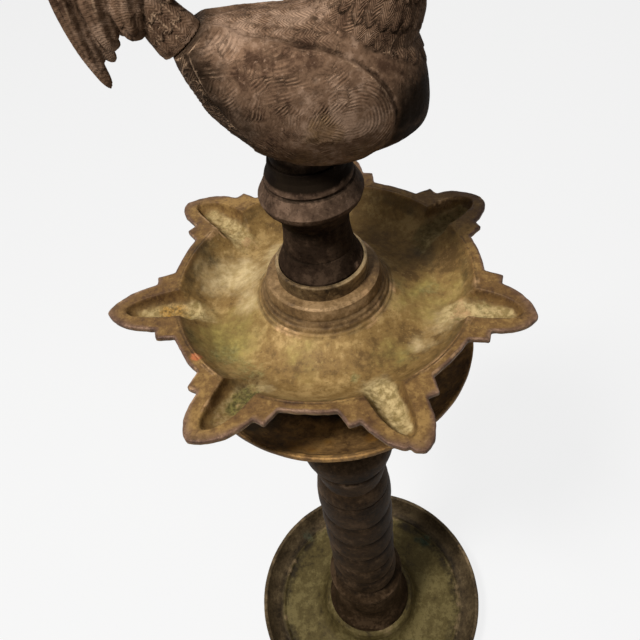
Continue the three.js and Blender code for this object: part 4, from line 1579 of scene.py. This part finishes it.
# %% [markdown]
# What has settled in the pan
#
# Each spout has burnt and dripped in its own way. One is full of pale crust, one is dark and
# green, one has amber lumps of old oil. The lists say which spout or which place has how much.
# A place is given by its radius, its angle from the lamp's right-hand side, the size of the
# spot and its strength. Some of the pale places are a painted highlight, and some of the soot
# places are painted shade.
# %% Lists of stains
crust_in_spout = (1.0, 0.5, 0.7, 0.75, 0.5, 1.0, 0.95)
moss_in_spout = (0.0, 0.4, 0.2, 0.45, 0.85, 0.15, 0.35)
amber_in_spout = (0.0, 0.0, 0.0, 0.72, 0.15, 0.2, 0.0)
# Pale dried oil, and a painted highlight where the floor and the spouts are lit most.
pale_places = (
    (60, 153, 22, 1.0),
    (46, 172, 15, 0.8),
    (50, 128, 12, 0.8),
    (70, 330, 13, 0.8),
    (68, 316, 9, 0.7),
    (76, 237, 6, 0.9),
    (66, 210, 10, 0.5),
    (50, 120, 14, 1.0),
    (98, 25, 11, 1.0),
    (76, 284, 10, 1.0),
)
# A painted highlight on the boss's lit left side.
boss_pale_places = ((40, 132, 9, 0.9),)
olive_places = (
    (66, 202, 26, 0.8),
    (60, 344, 24, 0.7),
    (52, 250, 20, 0.45),
    (60, 300, 16, 0.5),
    (62, 88, 22, 0.5),
)
green_places = (
    (62, 352, 9, 0.5),
    (72, 209, 12, 0.65),
    (70, 224, 11, 0.55),
    (66, 305, 9, 0.4),
    (63, 277, 4, 0.6),
)
rust_places = ((88, 210, 2.6, 1.3),)
# Soot, and painted shade: the left wall turned from the main lamp, the shaded flange and the back
# wall in the bird's shadow are painted darker.
soot_and_shade_places = (
    (80, 183, 5, 0.8),
    (80, 170, 4, 0.5),
    (86, 232, 6, 0.6),
    (82, 245, 5, 0.4),
    (69, 20, 12, 0.75),
    (44, 350, 9, 0.5),
    (83, 229, 7, 1.0),
    (104, 141, 6, 0.5),
    (84, 150, 12, 0.55),
    (84, 200, 8, 0.5),
)
pit_at, pit_size, pit_depth = (13.1, -82.5), 1.3, 1.1
lump_size, fine_lump_size = 2.6, 1.1


# %% Paint the pan
def in_troughs(x, y, strengths, start=62.0, end=trough_end, side=0.0):
    """How much of something lies in the spouts' troughs, between two distances from the axis.
    It lies a little to one side where side is not 0."""
    total = np.zeros(x.shape)
    for i, strength in enumerate(strengths):
        u, v = along_spout(x, y, i)
        reach = (trough_end - u) / (trough_end - trough_middle)
        half = trough_half * np.sqrt(np.clip(reach * (2 - reach), 0.001, 1))
        half = np.where(u < trough_middle, trough_half, half)
        across = 1 - ease(0.45, 1.0, np.abs(v - side * half) / half)
        length = ease(start, start + 16, u) * (1 - ease(end - 8, end - 0.5, u))
        total = np.maximum(total, strength * across * length)
    return total


x, y = points[:, 0], points[:, 1]
r = np.hypot(x, y)
off_boss = ease(boss_foot_radius - 1, boss_foot_radius + 6, r)
oiled = 1 - ease(well_radius - 2.5, well_radius + 0.2, r)
oiled = np.maximum(oiled, in_troughs(x, y, (0.9,) * spout_count, 54))
oiled = np.minimum(oiled, off_boss)
crust = in_troughs(x, y, crust_in_spout)
amber = in_troughs(x, y, amber_in_spout, 76, 106)
moss = in_troughs(x, y, moss_in_spout, 70, 104, 0.25)
# Pale dried oil, partly a painted highlight on the brightly lit floor.
pale = np.maximum(blots(x, y, pale_places) * oiled, blots(x, y, boss_pale_places))
# Painted shade: the steep wall just under the rim is darkened all round.
rim_shade_ring = 0.5 * ease(78, 83, r) * (1 - ease(86, 87.2, r))
bevel = np.zeros(len(points))
rows_out = flange_rows + rim_rows + 1
for row, share in zip(range(upper_rows - rows_out, upper_rows), np.linspace(0, 1, rows_out)):
    bevel[starts[row] : starts[row] + columns] = ease(0.72, 0.98, share)
print("crusted points:", int((crust > 0.5).sum()))

# %% [markdown]
# The pan's piece
#
# The crust stands up in lumps, so the points themselves are raised there, before the mesh is
# made. One small pit is sunk into the bowl's wall. What was painted goes onto the mesh last,
# on its upper side only.
# %% Make the pan
lumps = noise_at(points, lump_size) + 0.4 * noise_at(points, fine_lump_size)
pit = pit_depth * np.exp(-((np.hypot(x - pit_at[0], y - pit_at[1]) / pit_size) ** 2))
points[:, 2] += np.where(top_side, np.maximum(crust, 1.3 * amber) * (0.4 + 0.55 * lumps), 0)
points[:, 2] -= np.where(top_side, pit, 0)
points[:, 2] += flange_top
points = points.tolist()
pan_fits = (ring_seat, pan_seat)
pan = piece("pan", points, faces, "oil_pan", "pan", pan_finish, 0.3, pan_fits)
for name, values in (
    ("oiled", oiled),
    ("boss", 1 - off_boss),
    ("bevel", bevel),
    ("crust", crust),
    ("amber", amber),
    ("moss", moss),
    # Soot, and the painted shade of the wall and the bird's shadow.
    ("soot_and_shade", np.maximum(blots(x, y, soot_and_shade_places), rim_shade_ring)),
    ("olive", blots(x, y, olive_places) * oiled),
    ("pale", pale),
    ("green", blots(x, y, green_places)),
    ("rust", blots(x, y, rust_places)),
):
    paint(pan.data, name, np.where(top_side, values, 0))

# %% [markdown]
# The rooster
#
# The bird is one casting. Its trunk, neck, head, beak, comb and wattles are made as simple
# closed skins that run into each other, each from rings of points. The places are in
# millimetres above the post's top, with the bird looking along X.
# %% Rooster's helpers
head_x, head_z, head_radius = 57.0, 112.0, 12.0
comb_height, comb_thickness = 17.0, 5.0
wattle_length = 17.0


def smooth_path(values, steps):
    """A row of values eased through the given ones, as a Catmull-Rom curve passes its points."""
    values = np.asarray(values, float)
    padded = np.vstack([2 * values[0] - values[1], values, 2 * values[-1] - values[-2]])
    made = []
    spans = len(values) - 1
    for step in range(steps + 1):
        t = min(step / steps * spans, spans - 1e-9)
        i = int(t)
        u = t - i
        a, b, c, d = padded[i : i + 4]
        slope = (c - a) * u
        bend = (2 * a - 5 * b + 4 * c - d) * u * u
        twist = (3 * b - a - 3 * c + d) * u**3
        made.append(0.5 * (2 * b + slope + bend + twist))
    return np.array(made)


def skin(rings):
    """A closed mesh over rings of points, each running the same way round."""
    sides = len(rings[0])
    points = [p for ring in rings for p in ring]
    faces = []
    for i in range(len(rings) - 1):
        for k in range(sides):
            after = (k + 1) % sides
            a, b = i * sides + k, i * sides + after
            faces.append((a, b, b + sides, a + sides))
    faces.append(tuple(reversed(range(sides))))
    faces.append(tuple((len(rings) - 1) * sides + k for k in range(sides)))
    return points, faces


# %% Rooster's skins
def trunk_skin(steps=48, sides=48):
    """Oval sections along X. Each station is x, middle height, rise, drop and half width."""
    stations = [
        (-50, 68, 4, 4, 4),
        (-46, 62, 11, 15, 12),
        (-39, 54, 17, 25, 17),
        (-28, 46, 24, 30, 23.5),
        (-18, 41, 29, 35, 28),
        (0, 37, 33, 37.5, 31),
        (20, 36, 34, 38, 31.5),
        (39, 33, 33, 32, 28),
        (49, 30, 30, 26, 22),
        (55.5, 27, 22, 19.5, 15.5),
        (59, 24, 12, 12, 8),
        (60, 22, 4, 4, 3),
    ]
    rings = []
    for x, z, rise, drop, half in smooth_path(stations, steps):
        ring = []
        for k in range(sides):
            a = -2 * math.pi * k / sides
            reach = rise if math.cos(a) > 0 else drop
            ring.append((x, half * math.sin(a), z + reach * math.cos(a)))
        rings.append(ring)
    return skin(rings)


def way_at(line, i):
    """The way a line runs at one of its points, in the plane of X and Z."""
    ahead = line[min(i + 1, len(line) - 1)] - line[max(i - 1, 0)]
    size = math.hypot(ahead[0], ahead[2]) or 1.0
    return ahead[0] / size, ahead[2] / size


def tube_skin(line, sizes, steps, sides):
    """Oval sections along a line in the plane of X and Z. sizes are half height, half width."""
    line = smooth_path(line, steps)
    sizes = smooth_path(sizes, steps)
    rings = []
    for i, centre in enumerate(line):
        dx, dz = way_at(line, i)
        ring = []
        for k in range(sides):
            a = 2 * math.pi * k / sides
            high, wide = sizes[i][0] * math.cos(a), sizes[i][1] * math.sin(a)
            ring.append((centre[0] + dz * high, centre[1] + wide, centre[2] - dx * high))
        rings.append(ring)
    return skin(rings)


def ball_skin(centre, half, around=20, down=12):
    """A ball or an egg from its centre and its three half sizes."""
    rings = []
    for i in range(1, down):
        b = math.pi * i / down
        ring = []
        for k in range(around):
            a = -2 * math.pi * k / around
            way = (math.sin(b) * math.cos(a), math.sin(b) * math.sin(a), math.cos(b))
            ring.append(tuple(c + h * w for c, h, w in zip(centre, half, way)))
        rings.append(ring)
    return skin(rings)


def comb_skin():
    """A thin plate with five points, standing on the crown."""
    x, z = head_x - 14, head_z
    count, pitch = 5, 6.0
    outline = [(x + 3, z - 2)]
    for i in range(count):
        rise = comb_height * (0.75 + 0.25 * math.sin(math.pi * (i + 0.5) / count)) + 8
        outline.append((x - 3 + pitch * (i + 0.2), z + rise))
        outline.append((x - 1 + pitch * (i + 0.9), z + rise - 7))
    outline.append((x + pitch * count - 3, z + 2))
    half = comb_thickness / 2
    rings = [[(px, side, pz) for px, pz in outline] for side in (half, -half)]
    return skin(rings)


# %% Lines of neck and beak
neck_line = [
    (18, 0, 42),
    (35, 0, 62),
    (46, 0, head_z - 26),
    (head_x - 5, 0, head_z - 8),
    (head_x, 0, head_z + 2),
    (head_x + 3, 0, head_z + 10),
]
neck_sizes = [
    (24, 24),
    (22, 21),
    (head_radius + 3, head_radius + 1.5),
    (head_radius + 0.5, head_radius - 0.5),
    (head_radius - 1.5, head_radius - 2.5),
    (3, 3),
]
beak_root = Vector((head_x + head_radius - 6, 0, head_z))
beak_steps = ((0, 0, 0), (11, 0, 0.6), (18.5, 0, -1.4), (24, 0, -6))
beak_line = [tuple(beak_root + Vector(step)) for step in beak_steps]
beak_sizes = [(7, 5.5), (4.8, 3.7), (2.7, 2.0), (0.9, 0.7)]


# %% [markdown]
# Fusing the skins
#
# A voxel remesh makes one closed surface out of skins that overlap, as parts of wax are melted
# into one model. A few rounds of smoothing then ease the places where they meet.
# %% Fuse
def fused(name, skins, voxel, smooth_rounds):
    """One closed mesh from skins that run into each other. Points are above the post's top."""
    points, faces = [], []
    for some_points, some_faces in skins:
        start = len(points)
        points.extend(Vector(p) * MM for p in some_points)
        faces.extend(tuple(start + v for v in face) for face in some_faces)
    mesh = bpy.data.meshes.new(name)
    mesh.from_pydata(points, [], faces)
    made = bpy.data.objects.new(name, mesh)
    bpy.context.scene.collection.objects.link(made)
    remesh = made.modifiers.new("fuse", "REMESH")
    remesh.mode = "VOXEL"
    remesh.voxel_size = voxel * MM
    ease_out = made.modifiers.new("ease", "SMOOTH")
    ease_out.factor = 0.5
    ease_out.iterations = smooth_rounds
    graph = bpy.context.evaluated_depsgraph_get()
    whole = bpy.data.meshes.new_from_object(made.evaluated_get(graph))
    bpy.data.objects.remove(made)
    whole.name = name
    whole.polygons.foreach_set("use_smooth", [True] * len(whole.polygons))
    return whole


def settle(mesh, places, node):
    """Moves the vertices to places in millimetres above the post's top."""
    set_places(mesh, (places + np.array((0, 0, post_top))) * MM, node)


# %% The rooster's body
tang_radius = 8.7
perch_radii = (18.8, 18.4, 17.6, 17.0)
bird_skins = [
    trunk_skin(),
    tube_skin(neck_line, neck_sizes, 30, 32),
    tube_skin(beak_line, beak_sizes, 16, 20),
    comb_skin(),
]
for side in (-1, 1):
    wattle_at = (head_x + head_radius - 3, side * 3.5, head_z - wattle_length / 2 - 1)
    bird_skins.append(ball_skin(wattle_at, (4.5, 3, wattle_length / 2)))
tang_line = [(0, 0, -23.8), (0, 0, -12), (0, 0, 5)]
bird_skins.append(tube_skin(tang_line, [(tang_radius, tang_radius)] * 3, 6, 48))
perch_line = [(0, 0, 0), (0, 0, 3), (0, 0, 6), (0, 0, 9)]
bird_skins.append(tube_skin(perch_line, [(r, r) for r in perch_radii], 10, 64))
bird_mesh = fused("rooster", bird_skins, 0.8, 3)
print("rooster:", len(bird_mesh.vertices), "vertices")

# %% [markdown]
# Feathers
#
# The feathers were cut into the wax: rows of lapped tongues on the neck, the back and the
# thighs, and on the wing short strokes in clusters, which lie round the shoulder. Each zone has
# two coordinates, one across its feathers and one along them. A function turns them into a
# height, and into the number of a barb, which the material draws as a fine line.


# %% Feather patterns
barb_pitch = 1.5


def lapped(across, along, length, lift, overhang=0.7):
    """Rows of lapped feathers, one unit wide. A row's tips lie over the next row's roots."""
    row = np.floor(along / length)
    best = np.zeros(across.shape)
    barbs = np.zeros(across.shape)
    covered = np.zeros(across.shape, bool)
    for back in (1, 0):
        one = row - back
        side = np.mod(across + 0.5 * np.mod(one, 2), 1) - 0.5
        gone = (along - one * length) / length
        reach = 1 + overhang * np.sqrt(np.clip(1 - (2 * side) ** 2, 0, 1)) - overhang * 0.3
        here = (gone < reach) & ~covered
        rib = 0.28 * np.exp(-((side / 0.09) ** 2))
        rise = gone / (1 + overhang) + rib - 0.35 * (2 * np.abs(side)) ** 2
        best = np.where(here, lift * rise, best)
        barbs = np.where(here, (gone * length + np.abs(side) * length * 0.8) / barb_pitch, barbs)
        covered |= here
    return best, barbs


def outline_distance(x, z, line):
    """How far inside a closed line each place is. Outside it is negative."""
    nearest = np.full(x.shape, 1e9)
    inside = np.zeros(x.shape, bool)
    for (ax, az), (bx, bz) in zip(line, line[1:] + line[:1]):
        dx, dz = bx - ax, bz - az
        size = dx * dx + dz * dz
        if size < 1e-9:
            continue
        share = np.clip(((x - ax) * dx + (z - az) * dz) / size, 0, 1)
        nearest = np.minimum(nearest, np.hypot(x - ax - share * dx, z - az - share * dz))
        if az != bz:
            crosses = (az > z) != (bz > z)
            inside ^= crosses & (x < dx * (z - az) / dz + ax)
    return np.where(inside, nearest, -nearest)


wing_outline = Outline(22, 6).curve(39, 14, 39.5, 30).curve(38, 52, 10, 61)
wing_outline = wing_outline.curve(-14, 66, -45, 74).curve(-36, 32, -6, 10).curve(8, 4, 22, 6)
wing_lift = 2.2
shoulder = (21.0, 33.0)
flow_pitch = 1.3
cluster_long, cluster_high = 8.0, 5.5


def hatched(x, z, waver, slow_waver):
    """Clusters of short strokes that lie round the shoulder: their phase, and how deep they are.
    chance is a number from 0 to 1 of each cluster's own."""
    row = np.floor((z + 3 * slow_waver) / cluster_high)
    column = np.floor((x + 3.5 * waver) / cluster_long + 0.5 * np.mod(row, 2))
    middle_x = cluster_long * (column + 0.5 - 0.5 * np.mod(row, 2))
    middle_z = cluster_high * (row + 0.5)
    chance = np.mod(np.sin(column * 12.99 + row * 78.23) * 437.5, 1)
    out_x, out_z = middle_x - shoulder[0], middle_z - shoulder[1]
    angle = np.arctan2(out_z, np.where(out_x > 0, out_x, 0.25 * out_x)) + 1.1 * (chance - 0.5)
    across = (x - middle_x) * np.cos(angle) + (z - middle_z) * np.sin(angle)
    return across / flow_pitch + 7 * chance, 0.35 + 0.65 * np.mod(chance * 17, 1)


# %% [markdown]
# The neck
#
# The rooster's skin is carved zone by zone. BirdSkin holds what the zones share: the places,
# three noises that keep every line from being too even, and what has been carved so far. The
# neck comes first: long tongues hang round it like a cape.
# %% Carve the neck
class BirdSkin:
    """The bird's skin while it is carved: its places, its heights and the numbers of its barbs."""

    def __init__(self, places, normals):
        self.x, self.y, self.z = places.T.copy()
        self.sideways = np.abs(normals[:, 1])
        self.waver = noise_at(places, 9)
        self.slow_waver = noise_at(places, 21, (3, 9, 1))
        self.fine_waver = noise_at(places, 2.6, (5, 1, 7))
        self.height = np.zeros(len(places))
        self.barbs = np.zeros(len(places))

    def number_barbs(self, where, numbers):
        """Takes new numbers for the fine lines of one zone."""
        self.barbs = np.where(where, numbers, self.barbs)


def carve_neck(bird):
    """Long lapped feathers round the neck, down to the cape's edge."""
    x, y, z, waver = bird.x, bird.y, bird.z, bird.waver
    head = np.hypot(np.hypot(x - head_x, y), z - head_z)
    axis_x = np.interp(z, [42, 62, 86, 104, 114, 122], [18, 35, 46, 52, 57, 60])
    bird.cape = z - (38 + (60 - x) * 0.667) + 1.5 * waver
    around = np.arctan2(y, x - axis_x) / (2 * math.pi)
    down = (122 - z) * 0.92 + (60 - x) * 0.35
    bird.on_neck = ease(0, 2.5, bird.cape) * ease(head_radius + 0.5, head_radius + 5, head)
    height, number = lapped(around * 22 + 0.3 * waver, down + 2 * waver, 11, 0.95, 0.9)
    bird.height += bird.on_neck * height
    bird.number_barbs(bird.on_neck > 0.5, number)


# %% [markdown]
# The wing
#
# The wing is a raised field with a groove round it. Arcs run round the front of the shoulder,
# strokes fill the rest, and small golden scales lie in the middle. A knob marks the bend of
# the wing. The carver pressed harder in some places, so the strokes fade in and out.
# %% Carve the wing
def carve_wing(bird):
    """The wing's field, its arcs, strokes and scales, and where it is golden."""
    x, y, z = bird.x, bird.y, bird.z
    waver, slow_waver, fine_waver = bird.waver, bird.slow_waver, bird.fine_waver
    wing = outline_distance(x, z + 0.6 * waver, [tuple(p) for p in wing_outline.points])
    side = ease(2.5, 7, np.abs(y)) * ease(0.08, 0.3, bird.sideways)
    on_wing = ease(-0.2, 1.2, wing) * side
    inner = on_wing * ease(0.8, 2.2, wing)
    bird.height += wing_lift * on_wing

    dx, dz = x - shoulder[0], z - shoulder[1]
    back = np.minimum(dx, 0)
    ring = np.sqrt(np.where(dx > 0, dx, 0.5 * dx) ** 2 + (dz + 0.04 * back) ** 2)
    ring += 0.8 * waver + 2.4 * slow_waver
    strokes_at, deep = hatched(x, z, waver, slow_waver)
    near = (dx > -3 + 5 * waver) & (ring < 17 + 5 * waver)
    flow = np.where(near, ring / flow_pitch, strokes_at) + 0.16 * fine_waver + 0.2 * waver
    deep = np.where(near, 0.8, deep)
    broken = np.clip(0.5 + 1.6 * waver + 1.1 * fine_waver, 0, 1) * ease(3, 10, ring)

    scale, _ = lapped((z + waver) / 4.4, 40 - x + 1.5 * waver, 5.2, 0.6, 0.8)
    middle = np.exp(-(((x - 8) / 12) ** 2) - ((z - 31) / 9) ** 2)
    scaly = ease(0.25, 0.7, middle + 0.3 * waver)
    swell = 0.3 * slow_waver + 0.12 * np.cos(2 * math.pi * ring / 8.5)
    lines = 0.1 * deep * broken * np.sin(math.pi * flow)
    bird.height += inner * (scale * scaly + swell + lines)
    bird.number_barbs(inner > 0.5, flow)

    bird.height -= 0.5 * np.exp(-(((wing + 0.9) / 0.7) ** 2)) * side
    knob_along = (x - 31) * 0.5 - (z - 44) * 0.87
    knob_across = (x - 31) * 0.87 + (z - 44) * 0.5
    knob = np.exp(-((knob_along / 6.5) ** 2) - (knob_across / 2.4) ** 2)
    bird.height += 1.5 * side * knob
    bird.wing, bird.side, bird.on_wing = wing, side, on_wing
    bird.wing_lines = inner * deep * (0.15 + 0.85 * broken + 0.4 * scaly)
    bird.gold = on_wing * np.clip(scaly + 0.8 * ease(36, 8, z), 0, 1)


# %% [markdown]
# Back, breast and head
#
# Behind the wing lapped feathers run over the back and the thighs. The breast has only a few
# strokes. The eyes are small balls in a ring, the comb has a fan of grooves, and a line parts
# the beak.
# %% Carve the rest
def carve_back(bird):
    """Lapped feathers on the back and the thighs, and strokes high on the breast."""
    x, y, z, waver = bird.x, bird.y, bird.z, bird.waver
    turn = np.arctan2(y, z - 38)
    height, number = lapped(turn * 5.2, 40 - x + 2 * waver, 8.5, 0.7, 0.8)
    off_wing = 1 - ease(-1.5, 0, bird.wing) * bird.side
    body = (1 - bird.on_neck) * off_wing * (1 - ease(10, 26, x))
    body *= ease(3, 9, z)
    bird.height += body * height
    bird.number_barbs(body > 0.5, number)

    bare = (1 - bird.on_neck) * (1 - bird.on_wing) * (1 - body) * ease(34, 40, x)
    strokes = bare * ease(30, 42, z) * ease(0.0, 0.35, bird.fine_waver + waver)
    bird.number_barbs(strokes > 0.02, np.arctan2(y, x - 20) * 15 + 0.4 * waver)
    bird.body, bird.strokes = body, strokes


def carve_head(bird):
    """The eyes, the comb's grooves and the line of the mouth."""
    x, y, z = bird.x, bird.y, bird.z
    for across in (-1, 1):
        off_middle = np.hypot(x - head_x - 1, z - head_z - 1)
        eye = np.hypot(off_middle, y - across * (head_radius - 2.2))
        lid = 0.5 * np.exp(-(((eye - 3.6) / 0.6) ** 2))
        bird.height += 1.3 * (1 - ease(0.8, 2.4, eye)) + lid
        bird.height -= 0.35 * np.exp(-(((eye - 2.6) / 0.4) ** 2))
    on_comb = ease(head_z + 10, head_z + 13, z) * (1 - ease(2.6, 3.4, np.abs(y)))
    fan = np.arctan2(z - head_z + 6, x - head_x) * 16
    bird.height += 0.3 * on_comb * np.cos(2 * math.pi * fan)
    mouth = head_z - 0.4 - 0.02 * (x - 66) ** 2
    bird.height -= 0.55 * ease(65, 68, x) * np.exp(-(((z - mouth) / 0.55) ** 2))


# %% [markdown]
# Painted shade on the rooster
#
# A painted shade darkens the bird where it turns away from the main lamp or lies over its own
# shadow: its belly, its breast up to the cape, its rump and its front. The wing stands out from
# them and stays brown and golden.
# %% Where the rooster has painted shade
def painted_shade_of(bird):
    """How much painted shade darkens each place of the bird, from 0 to 1."""
    x, z, waver = bird.x, bird.z, bird.waver
    breast = 0.85 * ease(28, 50, x + 0.35 * (40 - z) + 3 * waver)
    breast *= 1 - 0.9 * ease(-4, 1.5, bird.wing)
    breast *= 1 - 0.9 * ease(-9, 9, bird.cape)
    belly = 1 - ease(1, 14, z)
    rump = 0.7 * ease(-8, -34, x + 0.25 * (z - 40) + 4 * waver)
    front = 0.35 * ease(42, 49, x)
    return np.maximum.reduce([breast, belly, rump, front])


# %% [markdown]
# Seats of the rooster
#
# The tail is a casting of its own and stands on a slanted flat across the rump. The belly has
# a flat foot round the tang, which sits on the post. Both are cut after the feathers, as a
# file would, so that they are true.
# %% Flats for the tail and the post
tail_lean = 0.6
tail_seat_at = (-44, 63)


def tail_axes(places):
    """Places seen from the tail's seat: how far along the flat, and how far out of it."""
    dx, dz = places[:, 0] - tail_seat_at[0], places[:, 2] - tail_seat_at[1]
    c, s = math.cos(tail_lean), math.sin(tail_lean)
    return dx * c + dz * s, -dx * s + dz * c


def flatten_seats(places):
    """The flat for the tail across the rump, and the flat foot round the tang."""
    along, out = tail_axes(places)
    over = np.where((out > 0) & (np.abs(along) < 30), out, 0)
    places[:, 0] += over * math.sin(tail_lean)
    places[:, 2] -= over * math.cos(tail_lean)
    body = np.hypot(places[:, 0], places[:, 1]) > 9.1
    places[:, 2] = np.where(body, np.maximum(places[:, 2], 0), places[:, 2])
    return places


# %% Make the rooster
fine_edge = 0.0012  # feathers are small, so only a sharp bend counts as an edge
places, normals = vertex_arrays(bird_mesh)
places = places / MM
bird = BirdSkin(places, normals)
for carve in (carve_neck, carve_wing, carve_back, carve_head):
    carve(bird)
carved = bird.height + 0.1 * bird.fine_waver
foot = (np.hypot(places[:, 0], places[:, 1]) < 21) & (places[:, 2] < 3)
carved[foot] = 0
places += normals * carved[:, None]
settle(bird_mesh, flatten_seats(places), "bird_body")
mark_relief(bird_mesh, fine_edge, 0)
feathered = 0.8 * bird.on_neck + bird.wing_lines + 0.7 * bird.body + 0.6 * bird.strokes
paint(bird_mesh, "barbs", bird.barbs)
paint(bird_mesh, "feathered", np.clip(feathered, 0, 1))
# Painted shade on the bird's belly, breast, rump and front.
paint(bird_mesh, "soot_and_shade", painted_shade_of(bird))
paint(bird_mesh, "gold", bird.gold)
rooster = bpy.data.objects.new("rooster", bird_mesh)
dress(rooster, "bird_body", "finial", bird_finish)

# %% [markdown]
# The tail
#
# Five sickle feathers rise from one root, arch over and hang. Each is an oval tube that swells
# and tapers, with a rib along both sides and barbs that slant away from it. Together they are
# one casting, which stands on the flat with a tenon in the rump.
# %% Tail
feather_count = 5
feather_half, feather_thick = 6.5, 4.5
feather_steps = 110
feather_sides = 32
tip_round = 0.045  # the share of a feather's length that its round tip takes
barbs_along = 64
batch = 20000  # places are measured a batch at a time, to save memory


def feather_line(i):
    """The middle line of a tail feather. Each feather is shorter than the one before it."""
    share = 1 - 0.15 * i
    side = 0 if i == 0 else (1 if i % 2 else -1) * (1 + i)
    shape = [(-3, 0, 0), (-6, 0.4, 18), (-17, 0.8, 37), (-30, 1, 36)]
    shape += [(-37.5, 1, 16), (-37.5, 1, -8), (-33.4, 1, -28.5 + 7 * i)]
    placed = [(-46 + share * x, side * y, 76 + share * z) for x, y, z in shape]
    return smooth_path(placed, feather_steps)


def feather_width(t):
    """How wide a feather is at a share of its length: it swells, tapers and ends round."""
    width = 0.65 + 0.5 * t if t < 0.7 else 1 - 2.6 * (t - 0.7) ** 1.1
    past = max(0.0, t - (1 - tip_round)) / tip_round
    return width * math.sqrt(max(0.03, 1 - past**2))


def feather_skin(i):
    """One feather: an oval tube along its line, with a rib and a groove on both sides."""
    line = feather_line(i)
    rings = []
    for step, centre in enumerate(line):
        t = step / feather_steps
        width = feather_width(t)
        dx, dz = way_at(line, step)
        ring = []
        for k in range(feather_sides):
            a = 2 * math.pi * k / feather_sides
            edge_share = abs(math.cos(a))
            rib = 0.8 * math.exp(-((edge_share / 0.2) ** 2))
            groove = -0.5 * math.exp(-(((edge_share - 0.42) / 0.14) ** 2))
            grow = (rib + groove) * min(1, 8 * t, 8 * (1 - t))
            high = feather_half * width * math.cos(a)
            wide = (feather_thick * width - 0.4 + grow) * math.sin(a)
            ring.append((centre[0] - dz * high, centre[1] - wide, centre[2] + dx * high))
        rings.append(ring)
    return skin(rings)


def carve_tail(places):
    """The heights to add to the tail's skin, and the barbs' phase and strength."""
    nearest = np.full(len(places), 1e9)
    barbs = np.zeros(len(places))
    for i in range(feather_count):
        line = feather_line(i)
        for start in range(0, len(places), batch):
            part = slice(start, start + batch)
            some = places[part]
            gone = np.linalg.norm((some[:, None, :] - line[None]) * (1, 2.2, 1), axis=2)
            step = gone.argmin(1)
            away = gone[np.arange(len(some)), step]
            from_rib = np.linalg.norm((some - line[step])[:, ::2], axis=1)
            number = step / feather_steps * barbs_along - from_rib * 0.3
            barbs[part] = np.where(away < nearest[part], number, barbs[part])
            nearest[part] = np.minimum(away, nearest[part])
    along, out = tail_axes(places)
    root = (1 - ease(20, 25, out)) * ease(1.5, 4, out) * (np.hypot(along, places[:, 1]) < 14)
    coverts, covert_number = lapped(np.arctan2(places[:, 1], along) * 1.6, 26 - out, 7, 0.55, 0.8)
    barbs = np.where(root > 0.5, covert_number, barbs)
    return root * coverts, barbs, 0.35 * ease(0.5, 2, out)


def on_tail_axes(x, y, z):
    """A place given from the tail's seat, in the bird's own millimetres."""
    c, s = math.cos(tail_lean), math.sin(tail_lean)
    return (tail_seat_at[0] + x * c - z * s, y, tail_seat_at[1] + x * s + z * c)


# %% Make the tail
tenon_half = 5.4
root_line = [on_tail_axes(0, 0, slip_gap), on_tail_axes(0.5, 0, 12), on_tail_axes(3, 0, 24)]
tenon_line = [on_tail_axes(0, 0, -19.8), on_tail_axes(0, 0, -8), on_tail_axes(0, 0, 4)]
tail_skins = [
    tube_skin(root_line, [(11, 9), (9.5, 7.5), (8, 6)], 20, 32),
    tube_skin(tenon_line, [(tenon_half, tenon_half)] * 3, 6, 32),
]
tail_skins += [feather_skin(i) for i in range(feather_count)]
tail_mesh = fused("rooster_tail", tail_skins, 0.62, 1)
places, normals = vertex_arrays(tail_mesh)
places = places / MM
carved, barbs, feathered = carve_tail(places)
places += normals * carved[:, None]
settle(tail_mesh, places, "bird_tail")
mark_relief(tail_mesh, fine_edge, 0)
paint(tail_mesh, "barbs", barbs)
paint(tail_mesh, "feathered", feathered)
for unused in ("soot_and_shade", "gold"):
    paint(tail_mesh, unused, np.zeros(len(places)))
sickles = bpy.data.objects.new("rooster_tail", tail_mesh)
dress(sickles, "bird_tail", "finial", bird_finish)

# %% [markdown]
# The two pins
#
# A pin from the back holds the tang in the post, and a rivet holds the tail's tenon. Both are
# drawn rods with hammered ends.
# %% Pins
pin_height = -12.0  # below the post's top


def pin_piece(name, node, radius, centre):
    """A rod between the ends of a CAD pin, with its far end domed by the hammer."""
    low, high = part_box(node)
    start, end = low.y / MM, high.y / MM
    rod = Outline(0, start).line(radius - 0.5, start).line(radius, start + 0.7)
    rod.line(radius, end - 1.0).curve(radius - 0.1, end - 0.2, 0.6 * radius, end - 0.1, 5)
    rod.line(0, end)
    points, faces = swept(rod, 40, 0.2, 0.8)
    points = [(centre[0] + px, pz, post_top + centre[1] - py) for px, py, pz in points]
    piece(name, points, faces, node, "finial", screw_finish, 0.0)


pin_piece("socket_pin", "tang_pin", 2.0, (0, pin_height))
rivet_at = on_tail_axes(0, 0, -10)
pin_piece("tail_pin", "tail_rivet", 1.8, (rivet_at[0], rivet_at[2]))

# %% [markdown]
# Last of all
#
# The last value gives two boxes: the CAD's, and the dressed model's.
# %% Finish
boxes = {"cad": cad_bounds, "visual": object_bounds()}
{name: [list(corner) for corner in box] for name, box in boxes.items()}
